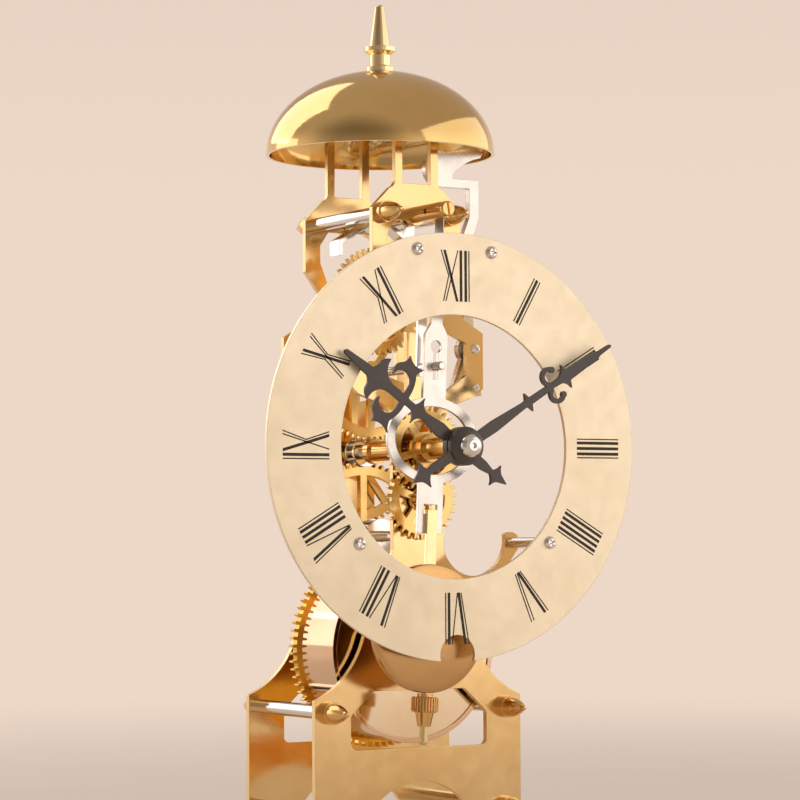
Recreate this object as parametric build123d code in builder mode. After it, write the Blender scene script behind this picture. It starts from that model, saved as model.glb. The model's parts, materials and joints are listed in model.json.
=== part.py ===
from build123d import *
from math import cos, pi, radians, sin, sqrt
import os

os.makedirs("parts", exist_ok=True)

# A brass skeleton table clock, in millimetres. X runs right, Y back and Z up.
# Depths run back from the dial's front face, heights and widths from the hand centre.

# Fits
fit = 0.02  # gap between two pieces of one body
play = 0.04  # gap round a pivot or in a running bore
end_shake = 0.25  # gap at each end of an arbor
clearance = 0.3  # gap between neighbours that only pass each other

# Dial
dial_height = 106.0  # hand centre above the feet
dial_radius = 55.0
dial_opening = 33.9  # radius of the hole
dial_thickness = 1.0
notch_radius = 5.2
notch_drop = 53.3
post_radius = 1.5
post_spigot_radius = 0.9
upper_post_width = 11.13
upper_post_height = 50.4
lower_post_width = 28.6
lower_post_drop = 24.7
dial_screw_radius = 0.85
dial_screw_length = 6.5
dial_screw_head_radius = 1.7
dial_screw_head_height = 0.9

# Plates
plate_depth = 18.9  # dial front to front plate
plate_thickness = 1.6
tine_width = 2.2
tine_spacing = 5.43  # centre line to tine middle
tine_root = 2.2  # above the shoulder's upper end
tine_gap_foot = 69.7
shoulder_width = 13.5
shoulder_height = 63.0
leg_inner_width = 8.9
leg_foot = 50.0
top_bar_underside = 60.0
top_bar_corner = 6.4
lobe_radius = 2.9
waist_width = 9.3
waist_inner_width = 6.6
waist_height = 43.2
cross_bar_half = 2.9
octagon_width = 20.3
octagon_top = 30.9
octagon_foot = 16.3
octagon_shoulder = 13.6
octagon_band = 5.2
finger_half_width = 3.3
finger_top = 30.6
finger_foot = 14.0
neck_half_width = 7.75
neck_foot = -26.5
arm_end_radius = 2.9
arm_sag = 34.0  # lowest point of the arm's upper edge, below the hand centre
flank_width = 16.5
flank_drop = 48.6
base_half_width = 31.2
base_shoulder_drop = 64.8
window_half_width = 20.6
window_foot_drop = 77.8
window_side_drop = 69.0
window_top_drop = 62.8
window_top_half_width = 13.9
window_corner = 1.6
arch_radius = 18.3
arch_centre_drop = 104.8

# Pillars and their nuts
pillar_radius = 1.85
spigot_radius = 1.2
spigot_length = 6.0  # beyond the plate
upper_pillar_width = 10.0
upper_pillar_height = 61.8
lower_pillar_width = 26.8
lower_pillar_drop = 68.0
bottom_pillar_rise = 11.5  # above the feet
nut_radius = 2.9
nut_collar = 2.2
nut_step = 0.35
nut_neck = 8.0
nut_neck_radius = 0.9
nut_length = 9.0
nut_bore_depth = 6.5

# Bell
bell_radius = 30.7
bell_rim_height = 79.35
bell_rise = 22.65
bell_wall = 0.9
bridge_thickness = 2.0
bridge_half_width = 8.3
bell_bolt_radius = 1.25
bell_spacer_radius = 3.0
bell_spacer_height = 7.1
finial_flange_radius = 3.85
finial_flange = 1.1
finial_column_radius = 2.9
finial_collar_height = 5.4  # above the bell
finial_collar_radius = 4.3
finial_cone_radius = 2.8
finial_tip_radius = 1.2
finial_top = 18.1  # above the bell

# Going train
barrel_module = 0.66
great_teeth = 78
intermediate_leaves = 12
intermediate_module = 0.651
intermediate_teeth = 60
centre_leaves = 10
centre_module = 0.5833
centre_teeth = 66
third_leaves = 6
third_module = 0.5514
third_teeth = 64
escape_leaves = 6
escape_teeth = 46
escape_radius = 14.5
escape_tooth_height = 1.7
tooth_root = 0.95  # tooth sizes in modules
tooth_tip = 1.05
tooth_root_half = 0.66
tooth_flank = 0.3
tooth_flank_half = 0.56
tooth_shoulder = 0.8
tooth_shoulder_half = 0.42
tooth_tip_half = 0.22
trundle_share = 0.23 * pi  # lantern pinion pin radius in modules
shroud_lip = 0.3
shroud_thickness = 0.8
rim_width = 3.0
spoke_count = 5
spoke_width = 2.0
hub_radius = 3.4
pivot_radius = 0.7
slim_arbor_radius = 1.2
stout_arbor_radius = 1.5
great_wheel_depth = 39.5
great_wheel_thickness = 2.2
intermediate_wheel_setback = 5.8  # behind the great wheel
intermediate_wheel_thickness = 1.8
centre_wheel_setback = 2.9  # behind the intermediate wheel
third_wheel_lead = 3.1  # in front of the intermediate wheel
escape_wheel_lead = 2.6  # in front of the third wheel
rear_plate_setback = 1.6  # behind the centre wheel
train_wheel_thickness = 1.2
lantern_margin = 0.7  # pinion length beyond the wheel at each side

# Barrel and winding
drum_radius = 24.3
drum_wall = 1.2
drum_setback = 1.2  # behind the front plate
drum_cap_thickness = 1.2
barrel_core_radius = 4.0
barrel_bearing_radius = 2.5
barrel_front_pivot_radius = 1.5
barrel_rear_pivot_radius = 2.2
winding_square = 2.9
winding_reach = 8.0  # beyond the rear plate
ratchet_radius = 8.0
ratchet_teeth = 24
ratchet_tooth_height = 1.1
ratchet_thickness = 1.4
click_width = 11.0  # click pivot left of the barrel arbor
click_rise = 6.0
click_boss_radius = 2.3
click_nose_radius = 0.6
click_nose_width = 4.2
click_nose_rise = 7.75
click_screw_radius = 1.2
click_screw_head_radius = 2.2
click_screw_head = 0.9
click_spring_width = 4.5
click_spring_rise = 19.5
click_spring_wire = 0.8
click_spring_lift = 2.3  # room for the click to rise

# Centre arbor, motion work and hands
centre_body_radius = 2.0
collet_radius = 2.7
collet_length = 12.0
collet_flange_radius = 3.4
collet_flange = 2.5
collet_lead = 0.7  # in front of the third wheel
centre_bearing_radius = 1.5
cannon_seat_radius = 1.2
hand_thread_radius = 1.0
motion_module = 0.66
cannon_leaves = 10
minute_wheel_teeth = 30
minute_pinion_leaves = 8
hour_wheel_teeth = 32
leaf_root = 1.35  # leaf sizes in modules
leaf_tip = 0.55
leaf_half = 0.62
leaf_tip_half = 0.3
cannon_tube_radius = 2.1
minute_hand_seat_radius = 1.7
washer_radius = 3.0
washer_thickness = 0.3
cannon_length = 1.5
motion_wheel_thickness = 1.2
minute_wheel_lead = 0.7  # in front of the plate
minute_pinion_lead = 0.4  # in front of the hour wheel
minute_pinion_seat_radius = 1.8
hour_wheel_lead = 0.8  # in front of the minute wheel
stud_radius = 1.1
stud_head_radius = 1.9
stud_head = 0.8
hour_pipe_radius = 2.9
hour_collar_radius = 3.8
hour_collar_length = 3.5
hour_hand_seat_radius = 2.6
hour_hand_lead = 1.4  # in front of the dial
hour_boss_length = 1.1
hand_gap = 0.6
hand_thickness = 0.9
hand_boss_radius = 5.0
minute_dome_height = 1.5
hand_nut_radius = 2.9
hand_nut_height = 2.3
hour_angle = 305.0  # clockwise from twelve
minute_angle = 59.0

# Strike
strike_setback = 1.5  # behind the front plate
strike_thickness = 2.0
cam_radius = 5.0
cam_least_radius = 2.9
hammer_pivot_width = 17.8
hammer_pivot_height = 26.7
hammer_boss_radius = 3.4
hammer_stud_radius = 1.2
hammer_stud_head_radius = 2.2
hammer_arm_width = 3.1
hammer_head_drop = 9.55  # below the bell rim
hammer_neck = 7.6
hammer_crank = 4.7
hammer_crank_width = 19.7
hammer_head_bar = 2.4
hammer_stop_width = 17.9
hammer_stop_height = 16.4
hammer_stop_radius = 0.8
hammer_heel_gap = 0.35
hammer_tail_width = 2.6
hammer_tail_reach = 6.3  # tail end right of the hand centre
spring_post_width = 9.9
spring_post_height = 37.4
spring_post_radius = 1.0
spring_wire = 0.6
spring_tip_height = 49.0

# Escapement
anchor_distance = 21.3  # above the escape arbor
anchor_width = 5.0
anchor_strip = 1.2
anchor_hub_radius = 3.0
pallet_width = 11.9
pallet_drop = 10.2
anchor_bend_width = 12.2
anchor_bend_drop = 6.6
crutch_width = 2.7
crutch_strip = 1.0
crutch_setback = 2.0  # behind the front plate
crutch_lead = 4.4  # in front of the front plate
crutch_bend_drop = 10.0
crutch_front_drop = 16.0
crutch_pin_height = 20.9
crutch_pin_radius = 1.15
crutch_pin_neck = 0.6
crutch_pin_lead = 3.2  # in front of the leader

# Pendulum, hung at a slight lean as it swings past
swing = 2.8
suspension_drop = 1.6  # below the anchor arbor
suspension_depth = 7.3
suspension_strip = 0.3
suspension_strip_width = 4.0
strip_slit = 0.5
post_body_radius = 2.2
post_seat_radius = 1.9
post_front_lead = 0.9  # in front of the strip
suspension_screw_radius = 1.0
suspension_screw_length = 4.0
suspension_screw_head_radius = 2.0
suspension_screw_head = 1.4
clamp_screw_radius = 0.65
clamp_screw_setback = 1.9  # behind the strip
block_top = 8.0  # drops below the pendulum pivot from here on
block_foot = 12.0
block_half_width = 1.6
block_depth = 4.6
leader_thickness = 1.0
leader_top_width = 3.4
leader_shoulder = 28.0
leader_shoulder_height = 3.0
leader_width = 6.9
ring_drop = 58.3
ring_half_width = 13.6
ring_half_height = 11.2
ring_band = 2.4
leader_tail_width = 7.4
leader_foot = 82.3
keyhole_drop = 34.0
keyhole_radius = 1.6
slot_width = 1.4
slot_foot = 42.5
hook_window_width = 4.1
hook_window_height = 2.5
hook_window_drop = 76.05
rod_width = 3.0
rod_thickness = 1.2
hook_height = 1.1
hook_lip = 3.0
rod_strip_foot = 96.0
rod_radius = 1.1
rod_foot = 136.3
bob_radius = 16.5
bob_thickness = 4.4
bob_edge = 1.0
bob_drop = 106.6
rating_nut_radius = 3.5
rating_nut_height = 4.4
rating_nut_dome = 0.4
rating_nut_collet = 3.6
rating_nut_collet_radius = 2.4
rating_nut_tip_radius = 1.7

# Places that follow from the sizes above
front_back = plate_depth + plate_thickness
intermediate_wheel_depth = great_wheel_depth + great_wheel_thickness + intermediate_wheel_setback
centre_wheel_depth = intermediate_wheel_depth + intermediate_wheel_thickness + centre_wheel_setback
third_wheel_depth = intermediate_wheel_depth - third_wheel_lead - train_wheel_thickness
escape_wheel_depth = third_wheel_depth - escape_wheel_lead - train_wheel_thickness
rear_face = centre_wheel_depth + train_wheel_thickness + rear_plate_setback
rear_back = rear_face + plate_thickness
plate_gap = rear_face - front_back
bell_depth = (plate_depth + rear_back) / 2
rear_reach = max(rear_back + nut_length, bell_depth + bell_radius)
hour_hand_depth = -hour_hand_lead - hand_thickness
hour_boss_depth = hour_hand_depth - hour_boss_length
minute_hand_depth = hour_boss_depth - hand_gap - hand_thickness
minute_dome_depth = minute_hand_depth - minute_dome_height
hand_nut_reach = hand_nut_height - minute_dome_depth
dial_y = -(rear_reach - hand_nut_reach) / 2
feet_drop = dial_height
bottom_pillar_drop = feet_drop - bottom_pillar_rise
bell_top = bell_rim_height + bell_rise
tine_top = bell_top - bell_wall - bell_spacer_height
intermediate_z = -(intermediate_teeth + centre_leaves) * intermediate_module / 2
barrel_z = intermediate_z - (great_teeth + intermediate_leaves) * barrel_module / 2
third_z = (centre_teeth + third_leaves) * centre_module / 2
escape_z = third_z + (third_teeth + escape_leaves) * third_module / 2
anchor_height = escape_z + anchor_distance
suspension_height = anchor_height - suspension_drop
motion_distance = (cannon_leaves + minute_wheel_teeth) * motion_module / 2
minute_wheel_depth = plate_depth - minute_wheel_lead - motion_wheel_thickness
hour_wheel_depth = minute_wheel_depth - hour_wheel_lead - motion_wheel_thickness
minute_pinion_depth = hour_wheel_depth - minute_pinion_lead
hour_collar_depth = hour_wheel_depth - hour_collar_length
drum_front_depth = front_back + drum_setback
strike_depth = front_back + strike_setback
arbor_front = front_back + end_shake
arbor_rear = rear_face - end_shake
pivot_front = plate_depth + end_shake
pivot_rear = rear_back - end_shake
post_points = [
    (upper_post_width, upper_post_height),
    (-upper_post_width, upper_post_height),
    (lower_post_width, -lower_post_drop),
    (-lower_post_width, -lower_post_drop),
]
pillar_points = [
    (upper_pillar_width, upper_pillar_height),
    (-upper_pillar_width, upper_pillar_height),
    (lower_pillar_width, -lower_pillar_drop),
    (-lower_pillar_width, -lower_pillar_drop),
    (lower_pillar_width, -bottom_pillar_drop),
    (-lower_pillar_width, -bottom_pillar_drop),
]
crutch_reach = anchor_height - crutch_pin_height
rock = swing * (suspension_height - crutch_pin_height) / crutch_reach
leader_front = suspension_depth - leader_thickness / 2
leader_back = leader_front + leader_thickness
rod_depth = leader_front - rod_thickness / 2
strip_front = suspension_depth - suspension_strip_width / 2
post_front_depth = strip_front - post_front_lead
clamp_screw_depth = strip_front + suspension_strip_width + clamp_screw_setback
anchor_depth = escape_wheel_depth + train_wheel_thickness / 2 - anchor_width / 2
crutch_rear_depth = front_back + crutch_setback
crutch_front_depth = plate_depth - crutch_lead
crutch_pin_reach = leader_front - crutch_pin_lead
hammer_head_foot = bell_rim_height - hammer_head_drop
hammer_crank_height = hammer_head_foot - hammer_neck
hammer_elbow_height = hammer_crank_height - hammer_crank
click_z = barrel_z + click_rise


def upright(depth, x=0, z=0, lean=0):
    # Sketch plane that faces the front, its up direction leaning clockwise.
    turn = radians(lean)
    across = (cos(turn), 0, -sin(turn))
    return Plane((x, dial_y + depth, dial_height + z), x_dir=across, z_dir=(0, -1, 0))


def sideways(x=0, z=0, lean=0):
    # Sketch plane seen from the side: first direction back, second up.
    turn = radians(lean)
    right = (cos(turn), 0, -sin(turn))
    return Plane((x, dial_y, dial_height + z), x_dir=(0, 1, 0), z_dir=right)


def turned(profile, x=0, z=0):
    # Solid turned about a front-to-back axis, from corners given as depth and radius.
    with BuildSketch(sideways(x, z)) as section:
        with BuildLine():
            Polyline(*profile, close=True)
        make_face()
    revolve(section.sketch, axis=Axis((x, dial_y, dial_height + z), (0, 1, 0)))


def spun(profile, depth, drop_from=0, lean=0):
    # Solid turned about an upright axis, from corners given as radius and height.
    with BuildSketch(upright(depth, z=drop_from, lean=lean)) as section:
        with BuildLine():
            Polyline(*profile, close=True)
        make_face()
    up = (sin(radians(lean)), 0, cos(radians(lean)))
    revolve(section.sketch, axis=Axis((0, dial_y + depth, dial_height + drop_from), up))


def tooth_corners(count, stations, first):
    # Outline of a toothed disc; a station is a radius and half a tooth's width there.
    corners = []
    for tooth in range(count):
        middle = radians(first) + 2 * pi * tooth / count
        rising = [(radius, -half) for radius, half in stations]
        falling = [(radius, half) for radius, half in reversed(stations)]
        for radius, half in rising + falling:
            along = sqrt(radius**2 - half**2)
            corner_x = along * cos(middle) - half * sin(middle)
            corner_y = along * sin(middle) + half * cos(middle)
            corners.append((corner_x, corner_y))
    return corners


def saw_corners(count, tip_radius, height, way):
    # Outline of a disc with pointed teeth that lean one way.
    corners = []
    pitch = 2 * pi / count
    for tooth in range(count):
        angle = tooth * pitch
        for radius, share in ((tip_radius - height, 0), (tip_radius, 0.62 * way), (tip_radius, 0.74 * way)):
            corners.append((radius * cos(angle + share * pitch), radius * sin(angle + share * pitch)))
    return corners


def wheel_corners(count, module, first):
    pitch_radius = count * module / 2
    root = (pitch_radius - tooth_root * module, tooth_root_half * module)
    flank = (pitch_radius + tooth_flank * module, tooth_flank_half * module)
    shoulder = (pitch_radius + tooth_shoulder * module, tooth_shoulder_half * module)
    tip = (pitch_radius + tooth_tip * module, tooth_tip_half * module)
    return tooth_corners(count, [root, flank, shoulder, tip], first)


def pinion_corners(count, module, first):
    pitch_radius = count * module / 2
    root_radius = pitch_radius - leaf_root * module
    root = (root_radius, leaf_half * module * root_radius / pitch_radius)
    flank = (pitch_radius, leaf_half * module)
    tip = (pitch_radius + leaf_tip * module, leaf_tip_half * module)
    return tooth_corners(count, [root, flank, tip], first)


def crossed_wheel(corners, depth, thickness, z, rim_radius, hub, bore, turn=90):
    # Toothed rim carried by spokes on a bored hub.
    with BuildSketch(upright(depth + thickness, z=z)) as flat:
        with BuildLine():
            Polyline(*corners, close=True)
        make_face()
        Circle(rim_radius, mode=Mode.SUBTRACT)
        with PolarLocations(0, spoke_count, start_angle=turn):
            Rectangle(rim_radius + rim_width / 2, spoke_width, align=(Align.MIN, Align.CENTER))
        Circle(hub)
        Circle(bore, mode=Mode.SUBTRACT)
    extrude(flat.sketch, amount=thickness, dir=(0, -1, 0))


def lantern_profile(wheel_depth, wheel_thickness, leaves, module, core):
    # Corners of the two shrouds and the core between them, front to back.
    shroud = leaves * module / 2 + trundle_share * module + shroud_lip
    front = wheel_depth - lantern_margin
    back = wheel_depth + wheel_thickness + lantern_margin
    front_pair = [(front - shroud_thickness, shroud), (front, shroud), (front, core)]
    back_pair = [(back, core), (back, shroud), (back + shroud_thickness, shroud)]
    return front_pair + back_pair


def trundles(wheel_depth, wheel_thickness, leaves, module, z):
    length = wheel_thickness + 2 * lantern_margin
    with BuildSketch(upright(wheel_depth + wheel_thickness + lantern_margin, z=z)) as pins:
        with PolarLocations(leaves * module / 2, leaves, start_angle=-90 + 180 / leaves):
            Circle(trundle_share * module)
    extrude(pins.sketch, amount=length, dir=(0, -1, 0))


def plate_face(depth, arms):
    # One frame plate, drawn as half an outline and mirrored.
    tine_in = tine_spacing - tine_width / 2
    tine_out = tine_spacing + tine_width / 2
    sweep_x = tine_out + 1.6
    shoulder_end = shoulder_height + shoulder_width - sweep_x
    band_top = (octagon_shoulder, octagon_top + 0.6 * (octagon_width - octagon_shoulder))
    inner = octagon_width - octagon_band
    with BuildSketch(upright(depth)) as flat:
        with BuildLine():
            Polyline((0, tine_gap_foot), (tine_in, tine_gap_foot), (tine_in, tine_top), (tine_out, tine_top),
                     (tine_out, shoulder_end + tine_root))
            SagittaArc((tine_out, shoulder_end + tine_root), (sweep_x, shoulder_end), -0.5)
            Polyline((sweep_x, shoulder_end), (shoulder_width, shoulder_height),
                     (shoulder_width, leg_foot - 1), (waist_width, waist_height), band_top,
                     (octagon_width, octagon_top), (octagon_width, octagon_foot),
                     (octagon_width - 2.4, octagon_foot - 2.2), (neck_half_width + 5, octagon_foot - 4.1))
            SagittaArc((neck_half_width + 5, octagon_foot - 4.1), (neck_half_width, octagon_foot - 9.5), -1.2)
            Line((neck_half_width, octagon_foot - 9.5), (neck_half_width, neck_foot))
            elbow = (flank_width - 2.5, -flank_drop + 4.6)
            if arms:
                upper_end = (lower_post_width - 1.8, -lower_post_drop + 2.25)
                lower_end = (lower_post_width + 1.8, -lower_post_drop - 2.25)
                tip = (lower_post_width + arm_end_radius * 0.78, -lower_post_drop + arm_end_radius * 0.62)
                ThreePointArc((neck_half_width, neck_foot), (lower_post_width / 2, -arm_sag + 1), upper_end)
                ThreePointArc(upper_end, tip, lower_end)
                ThreePointArc(lower_end, (lower_post_width * 0.8, -arm_sag - 2), elbow)
            else:
                ThreePointArc((neck_half_width, neck_foot), (neck_half_width + 1.4, neck_foot - 10), elbow)
            Line(elbow, (flank_width, -flank_drop))
            SagittaArc((flank_width, -flank_drop), (base_half_width, -base_shoulder_drop), -2.6)
            Polyline((base_half_width, -base_shoulder_drop), (base_half_width, -feet_drop), (0, -feet_drop))
            mirror(about=Plane.YZ)
        make_face()
        with Locations((0, -arch_centre_drop)):
            Circle(arch_radius, mode=Mode.SUBTRACT)
        upper_opening = [(top_bar_corner, top_bar_underside), (leg_inner_width, top_bar_underside - 3.7),
                         (leg_inner_width, leg_foot + 1.5), (waist_inner_width, waist_height + 2.7),
                         (waist_inner_width - 0.6, escape_z + cross_bar_half)]
        with BuildLine():
            FilletPolyline(*mirrored_loop(upper_opening), radius=0.5, close=True)
        make_face(mode=Mode.SUBTRACT)
        with Locations((0, anchor_height)):
            Circle(lobe_radius)
        middle_opening = [(waist_inner_width - 1, escape_z - cross_bar_half), (9.0, octagon_top + 0.1),
                          (inner, octagon_top - 2.8), (inner, octagon_foot + 3.4), (8.5, octagon_foot - 1.3),
                          (finger_half_width, finger_foot)]
        with BuildLine():
            FilletPolyline(*mirrored_loop(middle_opening), radius=0.5, close=True)
        make_face(mode=Mode.SUBTRACT)
        with Locations((0, (finger_top + finger_foot - 1) / 2)):
            Rectangle(2 * finger_half_width, finger_top - finger_foot + 1)
        window = [(window_top_half_width, -window_top_drop), (window_half_width, -window_side_drop),
                  (window_half_width, -window_foot_drop)]
        with BuildLine():
            FilletPolyline(*mirrored_loop(window), radius=window_corner, close=True)
        make_face(mode=Mode.SUBTRACT)
        with Locations(*pillar_points):
            Circle(spigot_radius + fit, mode=Mode.SUBTRACT)
        for pivot_z in (intermediate_z, third_z, escape_z):
            with Locations((0, pivot_z)):
                Circle(pivot_radius + play, mode=Mode.SUBTRACT)
        if arms:
            with Locations(*post_points):
                Circle(post_spigot_radius + fit, mode=Mode.SUBTRACT)
            with Locations((0, -motion_distance)):
                Circle(stud_radius + fit, mode=Mode.SUBTRACT)
            with Locations((hammer_pivot_width, hammer_pivot_height)):
                Circle(hammer_stud_radius + fit, mode=Mode.SUBTRACT)
            with Locations((hammer_stop_width, hammer_stop_height)):
                Circle(hammer_stop_radius + fit, mode=Mode.SUBTRACT)
            with Locations((0, anchor_height)):
                Circle(post_seat_radius + fit, mode=Mode.SUBTRACT)
            with Locations((0, 0)):
                Circle(centre_bearing_radius + play, mode=Mode.SUBTRACT)
            with Locations((0, barrel_z)):
                Circle(barrel_front_pivot_radius + play, mode=Mode.SUBTRACT)
        else:
            with Locations((0, anchor_height), (0, 0)):
                Circle(pivot_radius + play, mode=Mode.SUBTRACT)
            with Locations((0, barrel_z)):
                Circle(barrel_rear_pivot_radius + play, mode=Mode.SUBTRACT)
            with Locations((-click_width, click_z), (-click_spring_width, barrel_z + click_spring_rise)):
                Circle(click_screw_radius * 0.75 + fit, mode=Mode.SUBTRACT)
    return flat.sketch


def mirrored_loop(points):
    # A closed loop from its right half.
    return points + [(-x, z) for x, z in reversed(points)]


def pillar_nut(x, z, base, way):
    # Bullet-shaped nut on a plate, with a blind bore for the pillar's spigot.
    shoulder = nut_radius - nut_step
    with BuildSketch(sideways(x, z)) as section:
        with BuildLine():
            Polyline((base, spigot_radius + fit), (base, nut_radius), (base + way * nut_collar, nut_radius),
                     (base + way * nut_collar, shoulder))
            ThreePointArc((base + way * nut_collar, shoulder),
                          (base + way * (nut_collar + nut_neck) / 2, (shoulder + nut_neck_radius) / 2 + 0.4),
                          (base + way * nut_neck, nut_neck_radius))
            Polyline((base + way * nut_neck, nut_neck_radius), (base + way * (nut_length - 0.3), 0.7),
                     (base + way * nut_length, 0.3), (base + way * nut_length, 0),
                     (base + way * nut_bore_depth, 0), (base + way * nut_bore_depth, spigot_radius + fit),
                     (base, spigot_radius + fit))
        make_face()
    revolve(section.sketch, axis=Axis((x, dial_y, dial_height + z), (0, 1, 0)))


def pillar(x, z):
    turned([(plate_depth - spigot_length, 0), (plate_depth - spigot_length, spigot_radius),
            (front_back, spigot_radius), (front_back, pillar_radius), (rear_face, pillar_radius),
            (rear_face, spigot_radius), (rear_back + spigot_length, spigot_radius),
            (rear_back + spigot_length, 0)], x, z)


# Frame plates
with BuildPart() as front_plate:
    extrude(plate_face(front_back, True), amount=plate_thickness, dir=(0, -1, 0))
front_plate.part.label = "front_plate"
export_step(front_plate.part, "parts/front_plate.step")

with BuildPart() as rear_plate:
    extrude(plate_face(rear_back, False), amount=plate_thickness, dir=(0, -1, 0))
rear_plate.part.label = "rear_plate"
export_step(rear_plate.part, "parts/rear_plate.step")

# Pillars and nuts, a pair or set in each group
with BuildPart() as upper_pillars:
    pillar(upper_pillar_width, upper_pillar_height)
    mirror(about=Plane.YZ)
upper_pillars.part.label = "upper_pillars"
export_step(upper_pillars.part, "parts/upper_pillars.step")

with BuildPart() as lower_pillars:
    pillar(lower_pillar_width, -lower_pillar_drop)
    mirror(about=Plane.YZ)
lower_pillars.part.label = "lower_pillars"
export_step(lower_pillars.part, "parts/lower_pillars.step")

with BuildPart() as bottom_pillars:
    pillar(lower_pillar_width, -bottom_pillar_drop)
    mirror(about=Plane.YZ)
bottom_pillars.part.label = "bottom_pillars"
export_step(bottom_pillars.part, "parts/bottom_pillars.step")

with BuildPart() as front_pillar_nuts:
    for nut_x, nut_z in pillar_points:
        pillar_nut(nut_x, nut_z, plate_depth, -1)
front_pillar_nuts.part.label = "front_pillar_nuts"
export_step(front_pillar_nuts.part, "parts/front_pillar_nuts.step")

with BuildPart() as rear_pillar_nuts:
    for nut_x, nut_z in pillar_points:
        pillar_nut(nut_x, nut_z, rear_back, 1)
rear_pillar_nuts.part.label = "rear_pillar_nuts"
export_step(rear_pillar_nuts.part, "parts/rear_pillar_nuts.step")

# Dial ring on four posts
with BuildPart() as dial:
    with BuildSketch(upright(dial_thickness)):
        Circle(dial_radius)
        Circle(dial_opening, mode=Mode.SUBTRACT)
        with Locations((0, -notch_drop)):
            Circle(notch_radius, mode=Mode.SUBTRACT)
        with Locations(*post_points):
            Circle(dial_screw_radius + fit, mode=Mode.SUBTRACT)
    extrude(amount=dial_thickness)
dial.part.label = "dial"
export_step(dial.part, "parts/dial.step")

with BuildPart() as dial_posts:
    for post_x, post_z in post_points:
        tapped = dial_screw_radius + fit
        tapped_end = dial_screw_length + clearance
        turned([(dial_thickness, tapped), (dial_thickness, post_radius), (plate_depth, post_radius),
                (plate_depth, post_spigot_radius), (front_back, post_spigot_radius), (front_back, 0),
                (tapped_end, 0), (tapped_end, tapped)], post_x, post_z)
dial_posts.part.label = "dial_posts"
export_step(dial_posts.part, "parts/dial_posts.step")

with BuildPart() as dial_screws:
    for post_x, post_z in post_points:
        head = dial_screw_head_radius
        turned([(-dial_screw_head_height, 0), (-dial_screw_head_height, 0.6 * head),
                (-dial_screw_head_height / 2, 0.94 * head), (0, head), (0, dial_screw_radius),
                (dial_screw_length, dial_screw_radius), (dial_screw_length, 0)], post_x, post_z)
dial_screws.part.label = "dial_screws"
export_step(dial_screws.part, "parts/dial_screws.step")

# Bell on its bridge between the tines
with BuildPart() as bell_bridge:
    with BuildSketch(Plane((0, dial_y + bell_depth, dial_height + tine_top - bridge_thickness))):
        Rectangle(2 * bridge_half_width, rear_back - plate_depth)
        with Locations(*[(x * tine_spacing, y * (plate_gap + plate_thickness) / 2) for x in (-1, 1) for y in (-1, 1)]):
            Rectangle(tine_width + 2 * fit, plate_thickness + 2 * fit, mode=Mode.SUBTRACT)
        Circle(bell_bolt_radius + fit, mode=Mode.SUBTRACT)
    extrude(amount=bridge_thickness)
bell_bridge.part.label = "bell_bridge"
export_step(bell_bridge.part, "parts/bell_bridge.step")

with BuildPart() as bell_spacer:
    spun([(bell_bolt_radius + fit, tine_top), (bell_spacer_radius, tine_top),
          (bell_spacer_radius, bell_top - bell_wall), (bell_bolt_radius + fit, bell_top - bell_wall)], bell_depth)
bell_spacer.part.label = "bell_spacer"
export_step(bell_spacer.part, "parts/bell_spacer.step")

with BuildPart() as bell:
    with BuildSketch(upright(bell_depth)) as bell_section:
        with BuildLine():
            EllipticalCenterArc((0, bell_rim_height), bell_radius, bell_rise, arc_size=90)
            Line((0, bell_top), (0, bell_top - bell_wall))
            EllipticalCenterArc((0, bell_rim_height), bell_radius - bell_wall, bell_rise - bell_wall, arc_size=90)
            Line((bell_radius - bell_wall, bell_rim_height), (bell_radius, bell_rim_height))
        make_face()
        with Locations((0, bell_top)):
            Rectangle(2 * (bell_spacer_radius + fit), 6 * bell_wall, mode=Mode.SUBTRACT)
        with Locations(((bell_spacer_radius + bell_bolt_radius) / 2 + fit, bell_top - bell_wall / 2)):
            Rectangle(bell_spacer_radius - bell_bolt_radius, bell_wall)
    revolve(axis=Axis((0, dial_y + bell_depth, 0), (0, 0, 1)))
bell.part.label = "bell"
export_step(bell.part, "parts/bell.step")

with BuildPart() as bell_finial:
    flange_top = bell_top + finial_flange
    collar_foot = bell_top + finial_collar_height
    spun([(0, tine_top - bridge_thickness), (bell_bolt_radius, tine_top - bridge_thickness),
          (bell_bolt_radius, bell_top), (finial_flange_radius, bell_top),
          (finial_flange_radius, flange_top), (finial_column_radius, flange_top + 0.5),
          (finial_column_radius, collar_foot - 1), (finial_collar_radius, collar_foot),
          (finial_collar_radius, collar_foot + 1.1), (finial_cone_radius, collar_foot + 1.5),
          (finial_tip_radius, bell_top + finial_top - 0.5),
          (finial_tip_radius / 2, bell_top + finial_top), (0, bell_top + finial_top)], bell_depth)
bell_finial.part.label = "bell_finial"
export_step(bell_finial.part, "parts/bell_finial.step")

# Escape wheel and its arbor
with BuildPart() as escape_wheel:
    crossed_wheel(saw_corners(escape_teeth, escape_radius, escape_tooth_height, 1), escape_wheel_depth,
                  train_wheel_thickness, escape_z, escape_radius - escape_tooth_height - 0.6 * rim_width,
                  hub_radius, slim_arbor_radius + fit)
escape_wheel.part.label = "escape_wheel"
export_step(escape_wheel.part, "parts/escape_wheel.step")

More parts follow.
